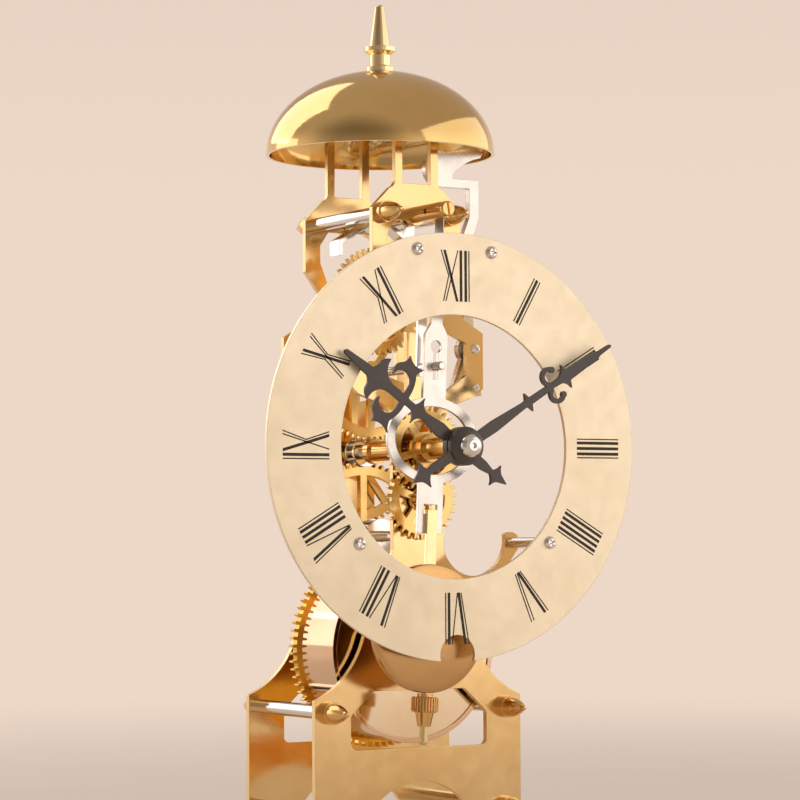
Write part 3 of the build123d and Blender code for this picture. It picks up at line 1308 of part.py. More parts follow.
with BuildPart() as pendulum_bob:
    bob_place = upright(0, z=suspension_height, lean=swing).from_local_coords((0, -bob_drop, 0))
    bob_front = rod_depth - bob_thickness / 2
    bob_back = rod_depth + bob_thickness / 2
    turned([(bob_front, 0), (bob_front, bob_radius - bob_edge), (bob_front + bob_edge, bob_radius),
            (bob_back - bob_edge, bob_radius), (bob_back, bob_radius - bob_edge), (bob_back, 0)],
           bob_place.X, bob_place.Z - dial_height)
    with BuildSketch(upright(rod_depth + rod_radius + play, z=suspension_height, lean=swing)):
        with Locations((0, -bob_drop)):
            Rectangle(rod_width + 2 * play, 2 * bob_radius + 2)
    extrude(amount=2 * (rod_radius + play), mode=Mode.SUBTRACT)
pendulum_bob.part.label = "pendulum_bob"
export_step(pendulum_bob.part, "parts/pendulum_bob.step")

with BuildPart() as rating_nut:
    nut_top = -bob_drop - bob_radius - 0.1
    head_foot = nut_top - rating_nut_dome - rating_nut_height
    nut_bore = rod_radius + play
    spun([(nut_bore, nut_top), (0.88 * rating_nut_radius, nut_top), (rating_nut_radius, nut_top - rating_nut_dome),
          (rating_nut_radius, head_foot), (rating_nut_collet_radius, head_foot),
          (rating_nut_tip_radius, head_foot - rating_nut_collet), (nut_bore, head_foot - rating_nut_collet)],
         rod_depth, suspension_height, swing)
rating_nut.part.label = "rating_nut"
export_step(rating_nut.part, "parts/rating_nut.step")
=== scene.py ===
import bmesh
import bpy
import json
import math
from mathutils import Matrix, Vector


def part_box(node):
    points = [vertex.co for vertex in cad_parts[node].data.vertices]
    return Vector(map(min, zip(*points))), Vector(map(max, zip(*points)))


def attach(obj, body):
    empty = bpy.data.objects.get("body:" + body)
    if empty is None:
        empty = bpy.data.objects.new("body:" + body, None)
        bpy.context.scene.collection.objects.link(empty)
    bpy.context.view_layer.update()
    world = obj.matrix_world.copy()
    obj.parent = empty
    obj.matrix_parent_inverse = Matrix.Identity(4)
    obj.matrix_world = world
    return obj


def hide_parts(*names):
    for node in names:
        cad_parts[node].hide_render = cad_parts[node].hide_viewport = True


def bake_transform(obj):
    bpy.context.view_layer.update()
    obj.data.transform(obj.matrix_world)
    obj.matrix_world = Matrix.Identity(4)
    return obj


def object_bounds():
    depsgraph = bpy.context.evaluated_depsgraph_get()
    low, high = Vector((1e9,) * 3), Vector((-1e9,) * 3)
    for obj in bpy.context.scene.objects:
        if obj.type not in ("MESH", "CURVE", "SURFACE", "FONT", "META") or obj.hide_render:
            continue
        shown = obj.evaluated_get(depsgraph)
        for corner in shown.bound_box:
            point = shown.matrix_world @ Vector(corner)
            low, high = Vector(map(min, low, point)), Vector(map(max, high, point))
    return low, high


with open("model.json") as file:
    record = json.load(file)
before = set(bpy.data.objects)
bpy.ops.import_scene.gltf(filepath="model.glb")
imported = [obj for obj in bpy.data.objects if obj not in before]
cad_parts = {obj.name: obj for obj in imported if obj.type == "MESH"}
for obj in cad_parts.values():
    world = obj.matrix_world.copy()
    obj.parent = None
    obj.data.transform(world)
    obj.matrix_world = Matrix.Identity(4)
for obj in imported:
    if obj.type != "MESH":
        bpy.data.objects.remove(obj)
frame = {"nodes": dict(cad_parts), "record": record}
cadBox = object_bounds()
nodes = frame["nodes"]
record = frame["record"]
mm = 0.001
weldGap = 0.001 * mm  # points closer than this are one point
print("frame loaded:", len(nodes), "nodes")

# who carries what, and each joint by its name
bodyOf = {node: body for body, members in record["behaviour"]["bodies"].items() for node in members}
jointOf = {joint["name"]: joint for joint in record["behaviour"]["joints"]}

# the hands turn about the middle of the dial; this point is on its front face
dialLow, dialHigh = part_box("dial")
dialRadius = (dialHigh.x - dialLow.x) / 2
handCentre = Vector((0, dialLow.y, dialHigh.z - dialRadius))


def middleOf(node):
    low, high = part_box(node)
    return (low + high) / 2


def faceMiddle(low, high, side="front"):
    # middle of the front or back face of a box
    depth = low.y if side == "front" else high.y
    return Vector(((low.x + high.x) / 2, depth, (low.z + high.z) / 2))


def directionTo(azimuth, elevation):
    # away from the clock, in degrees to the right of its front and above the level
    turn = math.radians(azimuth)
    rise = math.radians(elevation)
    return Vector((math.sin(turn) * math.cos(rise), -math.cos(turn) * math.cos(rise), math.sin(rise)))


def linear(hexColour):
    # sRGB hex to the linear colour that the shader takes
    channels = []
    for start in (1, 3, 5):
        value = int(hexColour[start:start + 2], 16) / 255
        if value <= 0.04045:
            channels.append(value / 12.92)
        else:
            channels.append(((value + 0.055) / 1.055) ** 2.4)
    return (*channels, 1)


def addNode(tree, kind, settings=None, links=None):
    # settings go to sockets or properties, links are socket name or number: (source node, its output)
    node = tree.nodes.new(kind)
    for name, value in (settings or {}).items():
        if name in node.inputs:
            node.inputs[name].default_value = value
        else:
            setattr(node, name, value)
    for socket, (source, output) in (links or {}).items():
        tree.links.new(source.outputs[output], node.inputs[socket])
    return node


def meshFrom(shape, name):
    mesh = bpy.data.meshes.new(name)
    shape.to_mesh(mesh)
    shape.free()
    return mesh


# spacing, depth and edge are in mm; tool marks are spaced wider than real ones, so that they show
finishes = {
    # rolled sheet brass, pressed, polished and lacquered: a soft mirror with a faint upright grain
    # and satin cut edges, whose paler tone is a painted highlight
    "polishedSheetBrass": {
        "pale": "#F5D59C", "deep": "#EDC888", "roughness": (0.1, 0.18), "metallic": 1, "coat": 0.25,
        "cutEdgeSatinAndHighlight": {"tone": "#F8DDA8", "roughness": 0.4},
        "marks": "grain", "spacing": 0.3, "stretch": (1, 1, 0.04), "depth": 0.0012,  # real grain is near 0.05
    },
    # brass spun over a former and buffed: a bright mirror with faint rings
    "spunBellBrass": {
        "pale": "#EDCC8A", "deep": "#E2BC74", "roughness": (0.07, 0.12), "metallic": 1, "coat": 0.3,
        "marks": "bands", "axis": "Z", "spacing": 0.9, "depth": 0.0008,
    },
    # free-cutting brass off the lathe: bright rings round each piece
    "turnedBrass": {
        "pale": "#F2CC8C", "deep": "#E6BA74", "roughness": (0.1, 0.18), "metallic": 1, "coat": 0.1,
        "marks": "bands", "axis": "Y", "spacing": 0.35, "depth": 0.003,  # real feed is near 0.1
    },
    # the same brass turned upright and buffed, for the finial, the spring block and the rod's thread:
    # crisp mirror bands, with the colour painted paler than turned brass as a painted highlight
    "uprightBrassPaintedHighlight": {
        "pale": "#F9E4B4", "deep": "#F1D498", "roughness": (0.04, 0.08), "metallic": 1, "coat": 0.1,
        "edge": 0.06,
        "marks": "bands", "axis": "Z", "spacing": 0.35, "depth": 0.0006,
    },
    # hard wheel brass, stamped, crossed out and brushed flat: deeper yellow and less mirror
    "stampedWheelBrass": {
        "pale": "#F0C65C", "deep": "#E2AE42", "roughness": (0.16, 0.26), "metallic": 1, "coat": 0.05,
        "marks": "grain", "spacing": 0.25, "stretch": (0.06, 1, 1), "depth": 0.002,
    },
    # the lighter train and motion wheels, cut in paler brass: satin with a fine grain
    "paleWheelBrass": {
        "pale": "#F2CE88", "deep": "#E8BE72", "roughness": (0.16, 0.26), "metallic": 1, "coat": 0.05,
        "marks": "grain", "spacing": 0.25, "stretch": (0.06, 1, 1), "depth": 0.002,
    },
    # sheet brass bob, turned and satin lacquered: soft rings that blur what they mirror
    "satinBobBrass": {
        "pale": "#DAB078", "deep": "#CEA066", "roughness": (0.16, 0.24), "metallic": 1, "coat": 0.2,
        "marks": "rings", "around": "pendulum_bob", "spacing": 0.4, "depth": 0.0015,
    },
    # drawn barrel brass, polished pale: clear mirror with rings round the arbor
    "paleDrumBrass": {
        "pale": "#EED0AE", "deep": "#E3BE98", "roughness": (0.05, 0.1), "metallic": 1, "coat": 0.1,
        "marks": "rings", "around": "barrel_drum", "spacing": 0.6, "depth": 0.0004,
    },
    # the barrel's cap, faced and lacquered paler than its drum: cream mirror with rings round the arbor
    "facedCapBrass": {
        "pale": "#F8E8CC", "deep": "#F1D9B4", "roughness": (0.06, 0.12), "metallic": 1, "coat": 0.1,
        "marks": "rings", "around": "barrel_drum", "spacing": 0.6, "depth": 0.0006,
    },
    # brass dial, brushed in circles and gilt pale: satin, with soft fans of light
    "satinGiltDial": {
        "pale": "#F7EBD0", "deep": "#F3E5C7", "roughness": (0.4, 0.48), "metallic": 1, "coat": 0.15,
        "anisotropic": 0.55,
        "marks": "rings", "around": "hands", "spacing": 0.22, "depth": 0.0006,
    },
    # silver steel rod, drawn and polished: cool bright mirror
    "polishedSteel": {
        "pale": "#F2EFEC", "deep": "#E6E3E0", "roughness": (0.08, 0.14), "metallic": 1, "coat": 0,
        "marks": "bands", "axis": "Y", "spacing": 0.4, "depth": 0.0012,
    },
    # steel strip, blanked and satin nickel plated: soft grey white
    "satinNickel": {
        "pale": "#EFEBE5", "deep": "#E2DED7", "roughness": (0.22, 0.32), "metallic": 1, "coat": 0,
        "marks": "grain", "spacing": 0.25, "stretch": (1, 1, 0.06), "depth": 0.0012,
    },
    # drawn flat brass for the pendulum rod, lacquered, painted cream white as a highlight; grain along the
    # rod
    "drawnRodBrassPaintedHighlight": {
        "pale": "#F9E6B4", "deep": "#F1D89C", "roughness": (0.14, 0.22), "metallic": 1, "coat": 0.2,
        "marks": "grain", "spacing": 0.3, "stretch": (1, 1, 0.04), "depth": 0.0012,
    },
    # small screw blacked in hot salts: dark grey with a dull gleam
    "blackedSteel": {
        "pale": "#5C5956", "deep": "#474442", "roughness": (0.24, 0.36), "metallic": 1, "coat": 0,
        "marks": "grain", "spacing": 0.2, "stretch": (1, 1, 1), "depth": 0.002,
    },
    # hardened spring strip, left grey: fine grain along the strip
    "springSteel": {
        "pale": "#B4B6BA", "deep": "#9C9EA4", "roughness": (0.2, 0.32), "metallic": 1, "coat": 0,
        "marks": "grain", "spacing": 0.2, "stretch": (1, 1, 0.08), "depth": 0.0015,
    },
    # stamped steel under sprayed enamel: soft black with a slight orange peel
    "blackEnamel": {
        "pale": "#544D4B", "deep": "#474140", "roughness": (0.36, 0.48), "metallic": 0, "coat": 0.15,
        "marks": "grain", "spacing": 0.6, "stretch": (1, 1, 1), "depth": 0.006,
    },
    # pad-printed ink: flat black film a few hundredths thick, with uneven cover
    "printedInk": {
        "pale": "#30271F", "deep": "#241C16", "roughness": (0.45, 0.6), "metallic": 0, "coat": 0,
        "marks": "grain", "spacing": 0.3, "stretch": (1, 1, 1), "depth": 0.002,
    },
}
finishDetail = {
    "toneSize": 25, "wearSize": 4, "brokenEdge": 0.22,  # mm
    "noiseLow": 0.3, "noiseHigh": 0.7,  # most of a noise lies between these
    "cutBelow": 0.3, "flatAbove": 0.7,  # how squarely a face looks to the front or the back
    "bandWaver": 0.6, "ringWaver": 0.8, "markStrength": 0.6, "coatRoughness": 0.06,
}


def makeFinish(name, recipe, detail):
    material = bpy.data.materials.new(name)
    material.use_nodes = True
    tree = material.node_tree
    shader = tree.nodes["Principled BSDF"]
    shader.inputs["Metallic"].default_value = recipe["metallic"]
    shader.inputs["Coat Weight"].default_value = recipe["coat"]
    shader.inputs["Coat Roughness"].default_value = detail["coatRoughness"]
    place = addNode(tree, "ShaderNodeTexCoord")

    # slow change of tone, a few centimetres across
    tone = addNode(tree, "ShaderNodeTexNoise", {"Scale": 1 / (detail["toneSize"] * mm), "Detail": 3},
                   {"Vector": (place, "Object")})
    colours = addNode(tree, "ShaderNodeValToRGB", {}, {"Fac": (tone, "Fac")})
    colours.color_ramp.elements[0].position = detail["noiseLow"]
    colours.color_ramp.elements[0].color = linear(recipe["deep"])
    colours.color_ramp.elements[1].position = detail["noiseHigh"]
    colours.color_ramp.elements[1].color = linear(recipe["pale"])

    # handling and polishing leave the gloss uneven, a few millimetres across
    wear = addNode(tree, "ShaderNodeTexNoise", {"Scale": 1 / (detail["wearSize"] * mm), "Detail": 5},
                   {"Vector": (place, "Object")})
    smooth, rough = recipe["roughness"]
    gloss = addNode(tree, "ShaderNodeMapRange",
                    {"From Min": detail["noiseLow"], "From Max": detail["noiseHigh"],
                     "To Min": smooth, "To Max": rough}, {"Value": (wear, "Fac")})
    if "cutEdgeSatinAndHighlight" in recipe:
        # faces that look neither to the front nor the back are cut edges, left satin and painted paler: a
        # painted highlight
        cut = recipe["cutEdgeSatinAndHighlight"]
        limits = {"From Min": detail["cutBelow"], "From Max": detail["flatAbove"]}
        parts = addNode(tree, "ShaderNodeSeparateXYZ", {}, {"Vector": (place, "Normal")})
        facing = addNode(tree, "ShaderNodeMath", {"operation": "ABSOLUTE"}, {0: (parts, "Y")})
        flat = addNode(tree, "ShaderNodeMapRange", limits, {"Value": (facing, "Value")})
        gloss = addNode(tree, "ShaderNodeMapRange", {**limits, "To Min": cut["roughness"]},
                        {"Value": (facing, "Value"), "To Max": (gloss, "Result")})
        colours = addNode(tree, "ShaderNodeMixRGB", {"Color1": linear(cut["tone"])},
                          {"Fac": (flat, "Result"), "Color2": (colours, "Color")})
    tree.links.new(colours.outputs["Color"], shader.inputs["Base Color"])
    tree.links.new(gloss.outputs["Result"], shader.inputs["Roughness"])

    # tool marks: a wave repeats every tenth of pi at a scale of 1
    spacing = recipe["spacing"] * mm
    waveScale = math.pi / 10 / spacing
    if recipe["marks"] == "grain":
        spread = addNode(tree, "ShaderNodeMapping", {"Scale": recipe["stretch"]},
                         {"Vector": (place, "Object")})
        marks = addNode(tree, "ShaderNodeTexNoise", {"Scale": 1 / spacing, "Detail": 2},
                        {"Vector": (spread, "Vector")})
    elif recipe["marks"] == "bands":
        marks = addNode(tree, "ShaderNodeTexWave",
                        {"wave_type": "BANDS", "bands_direction": recipe["axis"], "Scale": waveScale,
                         "Distortion": detail["bandWaver"], "Detail": 1}, {"Vector": (place, "Object")})
    else:
        middle = handCentre if recipe["around"] == "hands" else middleOf(recipe["around"])
        moved = addNode(tree, "ShaderNodeMapping", {"Location": -middle}, {"Vector": (place, "Object")})
        marks = addNode(tree, "ShaderNodeTexWave",
                        {"wave_type": "RINGS", "rings_direction": "Y", "Scale": waveScale,
                         "Distortion": detail["ringWaver"], "Detail": 1}, {"Vector": (moved, "Vector")})
    # edges are broken and worn round, so that they catch the light
    brokenEdge = recipe.get("edge", detail["brokenEdge"]) * mm
    edges = addNode(tree, "ShaderNodeBevel", {"samples": 4, "Radius": brokenEdge})
    bump = addNode(tree, "ShaderNodeBump",
                   {"Strength": detail["markStrength"], "Distance": recipe["depth"] * mm},
                   {"Height": (marks, "Fac"), "Normal": (edges, "Normal")})
    tree.links.new(bump.outputs["Normal"], shader.inputs["Normal"])

    # brushing in circles draws the light out into fans
    if "anisotropic" in recipe:
        shader.inputs["Anisotropic"].default_value = recipe["anisotropic"]
        brushed = addNode(tree, "ShaderNodeTangent", {"direction_type": "RADIAL", "axis": "Y"})
        tree.links.new(brushed.outputs["Tangent"], shader.inputs["Tangent"])
    return material


finishOf = {
    "polishedSheetBrass": ["front_plate", "rear_plate", "bell_bridge"],
    "drawnRodBrassPaintedHighlight": ["pendulum_rod"],
    "spunBellBrass": ["bell"],
    "turnedBrass": ["front_pillar_nuts", "rear_pillar_nuts", "suspension_post", "cannon_pinion",
                    "friction_washer", "minute_wheel_pinion", "centre_collet", "suspension_screw",
                    "rating_nut"],
    "uprightBrassPaintedHighlight": ["bell_finial", "bell_spacer", "spring_block"],
    "stampedWheelBrass": ["great_wheel", "ratchet_wheel", "strike_cam"],
    "paleWheelBrass": ["escape_wheel", "third_wheel", "centre_wheel", "intermediate_wheel", "minute_wheel",
                       "hour_wheel"],
    "satinBobBrass": ["pendulum_bob"],
    "paleDrumBrass": ["barrel_drum"],
    "facedCapBrass": ["barrel_cap"],
    "satinGiltDial": ["dial"],
    "polishedSteel": ["upper_pillars", "lower_pillars", "bottom_pillars", "dial_posts", "dial_screws",
                      "escape_arbor", "third_arbor", "centre_arbor", "intermediate_arbor", "barrel_arbor",
                      "anchor_arbor", "anchor", "crutch", "click", "click_screw", "click_spring_screw",
                      "minute_wheel_stud", "hammer_stud", "hammer_stop", "hand_nut"],
    "blackedSteel": ["clamp_screw"],
    "satinNickel": ["pendulum_leader", "hammer"],
    "springSteel": ["click_spring", "hammer_spring", "suspension_spring"],
    "blackEnamel": ["hour_hand", "minute_hand"],
}
finishFor = {node: finish for finish, members in finishOf.items() for node in members}
materials = {name: makeFinish(name, recipe, finishDetail) for name, recipe in finishes.items()}
for node, finish in finishFor.items():
    nodes[node].data.materials.clear()
    nodes[node].data.materials.append(materials[finish])
print("finishes made:", len(materials))


def addPiece(name, shape, finish, body):
    piece = bpy.data.objects.new(name, shape)
    bpy.context.collection.objects.link(piece)
    shape.materials.clear()
    shape.materials.append(materials[finish])
    if body:  # a piece that bends between two bodies gets no body and is left unattached
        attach(piece, body)
    return piece


def standIn(node, name, shape):
    # a finer shape in the node's place, with the node's finish
    piece = addPiece(name, shape, finishFor[node], bodyOf[node])
    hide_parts(node)


def cutShape(shape, cutters):
    # a copy of the shape with recesses cut into it
    piece = bpy.data.objects.new("uncut", shape.copy())
    bpy.context.collection.objects.link(piece)
    holders = [piece]
    for cutter in cutters:
        holder = bpy.data.objects.new("cutter", cutter)
        bpy.context.collection.objects.link(holder)
        cut = piece.modifiers.new("recess", "BOOLEAN")
        cut.operation = "DIFFERENCE"
        cut.solver = "EXACT"
        cut.object = holder
        holders.append(holder)
    bpy.context.view_layer.update()
    result = bpy.data.meshes.new_from_object(piece.evaluated_get(bpy.context.evaluated_depsgraph_get()))
    for holder in holders:
        bpy.data.objects.remove(holder)
    return result


def carve(node, name, cutters):
    # the node's own shape, with recesses
    standIn(node, name, cutShape(nodes[node].data, cutters))


def blockMesh(size, place, turn, spin=0):
    # closed block, spun about its upright axis and then turned about the front-to-back axis
    block = bmesh.new()
    bmesh.ops.create_cube(block, size=1)
    bmesh.ops.scale(block, vec=size, verts=block.verts)
    bmesh.ops.rotate(block, matrix=Matrix.Rotation(spin, 3, "Z"), verts=block.verts)
    bmesh.ops.rotate(block, matrix=Matrix.Rotation(turn, 3, "Y"), verts=block.verts)
    bmesh.ops.translate(block, vec=place, verts=block.verts)
    return meshFrom(block, "block")


numerals = {
    "innerRadius": 37.3, "outerRadius": 50.5, "film": 0.03,  # mm; the ink stands on the dial
    "bar": 0.78, "line": 0.32, "pitch": 1.43, "step": 3.0,  # mm; stroke widths, I to I, any other two letters
    # mm across at a stroke's outer end, its bend if it has one, and its inner end;
    # first and last are the outlines of a numeral's end letters
    "letters": {
        "I": {"bar": (0, 0), "first": (-1.0, -1.0), "last": (1.0, 1.0)},
        "V": {"bar": (-1.9, 0.1), "line": (2.1, 0.45), "first": (-2.95, -0.6), "last": (3.0, 1.1)},
        "X": {"bar": (-1.9, 1.85), "line": (2.1, -1.6), "first": (-2.95, -0.7, -2.3),
              "last": (2.95, 0.75, 2.75)},
    },
    "texts": ["XII", "I", "II", "III", "IIII", "V", "VI", "VII", "VIII", "IX", "X", "XI"],
}


def numeralStrokes(text, style):
    # strokes as (start across, start share, end across, end share, width); share 1 is the outer end
    strokes = []
    across = 0
    for place, letter in enumerate(text):
        if place > 0:
            across += style["pitch"] if letter == "I" and text[place - 1] == "I" else style["step"]
        for kind, points in style["letters"][letter].items():
            notFirst = kind == "first" and place > 0
            notLast = kind == "last" and place < len(text) - 1
            if notFirst or notLast:
                continue
            width = style["bar"] if kind == "bar" else style["line"]
            count = len(points) - 1
            for step in range(count):
                strokes.append((across + points[step], 1 - step / count,
                                across + points[step + 1], 1 - (step + 1) / count, width))
    ends = [value for stroke in strokes for value in (stroke[0], stroke[2])]
    shift = (min(ends) + max(ends)) / 2
    return [(start - shift, startShare, end - shift, endShare, width)
            for start, startShare, end, endShare, width in strokes]


def printNumerals(style):
    ink = bmesh.new()
    inner = style["innerRadius"]
    height = style["outerRadius"] - inner
    for hour, text in enumerate(style["texts"]):
        angle = math.radians(360 / len(style["texts"]) * hour)
        outward = Vector((math.sin(angle), 0, math.cos(angle)))
        across = Vector((math.cos(angle), 0, -math.sin(angle)))
        for start, startShare, end, endShare, width in numeralStrokes(text, style):
            corners = [(start - width / 2, startShare), (start + width / 2, startShare),
                       (end + width / 2, endShare), (end - width / 2, endShare)]
            rings = []
            for depth in (0, style["film"]):
                ring = []
                for x, share in corners:
                    place = handCentre + (across * x + outward * (inner + share * height)) * mm
                    ring.append(ink.verts.new(place - Vector((0, depth * mm, 0))))
                rings.append(ring)
            ink.faces.new(rings[0])
            ink.faces.new(rings[1])
            for side in range(len(corners)):
                after = (side + 1) % len(corners)
                ink.faces.new((rings[0][side], rings[0][after], rings[1][after], rings[1][side]))
    bmesh.ops.recalc_face_normals(ink, faces=ink.faces)
    return meshFrom(ink, "dialNumerals")


addPiece("dialNumerals", printNumerals(numerals), "printedInk", "frame")
print("numerals printed:", len(numerals["texts"]))


crossRecess = {
    "length": 2.0, "width": 0.5, "depth": 0.7, "step": 0.03,  # mm; one arm of the cross is a step deeper
    "turns": (12, -25, 40, 5),  # degrees, one for each screw
}


def screwBoxes(node):
    # low and high corners of each separate screw in a node, from the lowest up and then from the left
    shape = bmesh.new()
    shape.from_mesh(nodes[node].data)
    bmesh.ops.remove_doubles(shape, verts=shape.verts, dist=weldGap)
    waiting = set(shape.verts)
    boxes = []
    while waiting:
        group = [waiting.pop()]
        for vert in group:
            for edge in vert.link_edges:
                other = edge.other_vert(vert)
                if other in waiting:
                    waiting.remove(other)
                    group.append(other)
        low = Vector(min(vert.co[axis] for vert in group) for axis in range(3))
        high = Vector(max(vert.co[axis] for vert in group) for axis in range(3))
        boxes.append((low, high))
    shape.free()
    return sorted(boxes, key=lambda box: (box[0].z, box[0].x))


def crossCutters(style):
    cutters = []
    for (low, high), turn in zip(screwBoxes("dial_screws"), style["turns"]):
        place = faceMiddle(low, high)
        for quarter, depth in ((0, style["depth"]), (90, style["depth"] + style["step"])):
            size = (style["length"] * mm, 2 * depth * mm, style["width"] * mm)
            cutters.append(blockMesh(size, place, math.radians(turn + quarter)))
    return cutters


carve("dial_screws", "dialScrewsCross", crossCutters(crossRecess))

screwSlots = {
    # mm, and degrees from level
    "suspension_screw": {"side": "front", "width": 0.6, "depth": 0.7, "turn": 82},
    "click_screw": {"side": "back", "width": 0.6, "depth": 0.5, "turn": -20},
    "click_spring_screw": {"side": "back", "width": 0.6, "depth": 0.5, "turn": 50},
}
slotOverrun = 1  # mm, by which the cutter is longer than the head is wide
for node, slot in screwSlots.items():
    low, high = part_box(node)
    size = (high.x - low.x + slotOverrun * mm, 2 * slot["depth"] * mm, slot["width"] * mm)
    cutter = blockMesh(size, faceMiddle(low, high, slot["side"]), math.radians(slot["turn"]))
    carve(node, node + "Slotted", [cutter])
print("screw heads cut")


def lathe(profile, origin, axis, steps, ripple=None):
    # turned mesh from (radius, height) corners; ripple changes a radius by the step round the axis
    up = axis.normalized()
    side = up.orthogonal().normalized()
    front = side.cross(up)
    shape = bmesh.new()
    rings = []
    for radius, height in profile:
        ring = []
        for step in range(steps):
            angle = 2 * math.pi * step / steps
            reach = ripple(radius, step) if ripple else radius
            place = origin + up * height + (side * math.cos(angle) + front * math.sin(angle)) * reach
            ring.append(shape.verts.new(place))
        rings.append(ring)
    for lower, upper in zip(rings, rings[1:]):
        for step in range(steps):
            after = (step + 1) % steps
            shape.faces.new((lower[step], lower[after], upper[after], upper[step]))
    # a profile that comes back to its start is closed there, and any other gets two end faces
    if profile[0] == profile[-1]:
        bmesh.ops.remove_doubles(shape, verts=shape.verts, dist=weldGap)
    else:
        shape.faces.new(rings[0])
        shape.faces.new(rings[-1])
    bmesh.ops.recalc_face_normals(shape, faces=shape.faces)
    return meshFrom(shape, "turned")


plateScrews = {
    # steel heads on the front plate where the hammer's stud and stop come through, in mm and degrees
    "hammer_stud": {"radius": 1.35, "slot": 0.35, "turn": 38},
    "hammer_stop": {"radius": 1.05, "slot": 0.28, "turn": -30},
}
screwHead = {
    # share of the radius, and mm above the plate
    "profile": [(1, -0.1), (1, 0.2), (0.92, 0.32), (0.72, 0.44), (0.4, 0.52), (0.05, 0.54)],
    "steps": 48,
    "cutterLength": 3, "cutterDepth": 0.6, "cutterHeight": 0.55,  # in radii; mm; mm from plate to its middle
}
for node, head in plateScrews.items():
    place = middleOf(node)
    place.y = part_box("front_plate")[0].y
    profile = [(share * head["radius"] * mm, height * mm) for share, height in screwHead["profile"]]
    dome = lathe(profile, place, Vector((0, -1, 0)), screwHead["steps"])
    slotSize = (screwHead["cutterLength"] * head["radius"] * mm, screwHead["cutterDepth"] * mm,
                head["slot"] * mm)
    slotPlace = place - Vector((0, screwHead["cutterHeight"] * mm, 0))
    slotted = cutShape(dome, [blockMesh(slotSize, slotPlace, math.radians(head["turn"]))])
    addPiece(node + "Head", slotted, finishFor[node], "frame")
print("plate screw heads made:", len(plateScrews))

# the rating nut, the bob and the rod's thread share the rod's leaning axis
nutJoint = jointOf["rating_nut_turn"]
nutAxis = Vector(nutJoint["axis"])
nutPivot = Vector(nutJoint["pos_m"])
rodLean = math.atan2(nutAxis.x, nutAxis.z)


def heightsAlong(node):
    # lowest and highest reach of a node along the rod's axis
    reach = [(vert.co - nutPivot).dot(nutAxis) for vert in nodes[node].data.vertices]
    return min(reach), max(reach)


ratingNut = {
    "radius": 3.5, "bore": 1.14, "boss": 0.8, "bossRadius": 2.0, "head": 4.0, "knurlMargin": 0.35,  # mm
    "colletRadius": 2.4, "tipRadius": 1.7, "ridgeDepth": 0.5,  # mm
    "ridges": 28, "ridgeSteps": 6, "crestSteps": (1, 2, 3, 4),  # the steps of a ridge at full radius
    "slit": 0.7, "slitRise": 0.5, "slitTurn": -50,  # mm, mm into the head, degrees from the front
    "cutterLength": 3,  # collet radii
}


def knurledNut(style):
    foot, top = heightsAlong("rating_nut")
    headTop = top / mm - style["boss"]
    headFoot = headTop - style["head"]
    knurlLow = headFoot + style["knurlMargin"]
    knurlHigh = headTop - style["knurlMargin"]
    rim = style["radius"]
    groove = rim - style["ridgeDepth"]
    profile = [(style["bore"], foot / mm), (style["tipRadius"], foot / mm), (style["colletRadius"], headFoot),
               (groove, headFoot), (rim, knurlLow), (rim, knurlHigh), (groove, headTop),
               (style["bossRadius"], headTop), (style["bossRadius"], top / mm), (style["bore"], top / mm),
               (style["bore"], foot / mm)]

    def ripple(radius, step):
        onRim = radius > rim * mm - weldGap
        onCrest = step % style["ridgeSteps"] in style["crestSteps"]
        return radius - style["ridgeDepth"] * mm if onRim and not onCrest else radius

    steps = style["ridges"] * style["ridgeSteps"]
    profile = [(radius * mm, height * mm) for radius, height in profile]
    turned = lathe(profile, nutPivot, nutAxis, steps, ripple)
    # two crossed slits open the collet
    width = style["slit"] * mm
    across = style["cutterLength"] * style["colletRadius"] * mm
    length = 2 * (headFoot * mm - foot + style["slitRise"] * mm)
    spin = math.radians(style["slitTurn"])
    slitFoot = nutPivot + nutAxis * foot
    slits = [blockMesh((width, across, length), slitFoot, rodLean, spin),
             blockMesh((across, width, length), slitFoot, rodLean, spin)]
    return cutShape(turned, slits)


standIn("rating_nut", "ratingNutKnurled", knurledNut(ratingNut))

bobShape = {
    "radius": 16.5, "middle": 2.2, "rim": 1.35, "round": 0.35,  # mm; half thick at the middle and the rim
    "slotWidth": 3.08, "slotDepth": 2.28, "pip": 0.05,  # mm; the pip is the flat at the very middle
    "shoulder": 0.3, "cutterLength": 2.2,  # share of the round, and radii
    "steps": 128, "rings": 12,
}


def lensBob(style):
    # slightly domed on both faces, with a rounded rim and the slot for the rod
    reach = style["radius"] - style["round"]
    face = []
    for ring in range(style["rings"] + 1):
        radius = max(style["pip"], reach * ring / style["rings"])
        face.append((radius, style["middle"] - (style["middle"] - style["rim"]) * (radius / reach) ** 2))
    shoulder = style["shoulder"] * style["round"]
    face.append((style["radius"] - shoulder, style["rim"] - shoulder))
    face.append((style["radius"], style["rim"] - style["round"]))
    profile = face + [(radius, -height) for radius, height in reversed(face)]
    profile = [(radius * mm, height * mm) for radius, height in profile]
    centre = middleOf("pendulum_bob")
    lens = lathe(profile, centre, Vector((0, -1, 0)), style["steps"])
    for polygon in lens.polygons:
        polygon.use_smooth = True
    slotSize = (style["slotWidth"] * mm, style["slotDepth"] * mm,
                style["cutterLength"] * style["radius"] * mm)
    return cutShape(lens, [blockMesh(slotSize, centre, rodLean)])


standIn("pendulum_bob", "bobLens", lensBob(bobShape))

rodThread = {
    "pitch": 0.45, "crest": 1.13, "root": 1.02, "flank": 0.2, "start": 0.8, "length": 9.5,  # mm
    "steps": 20,
}


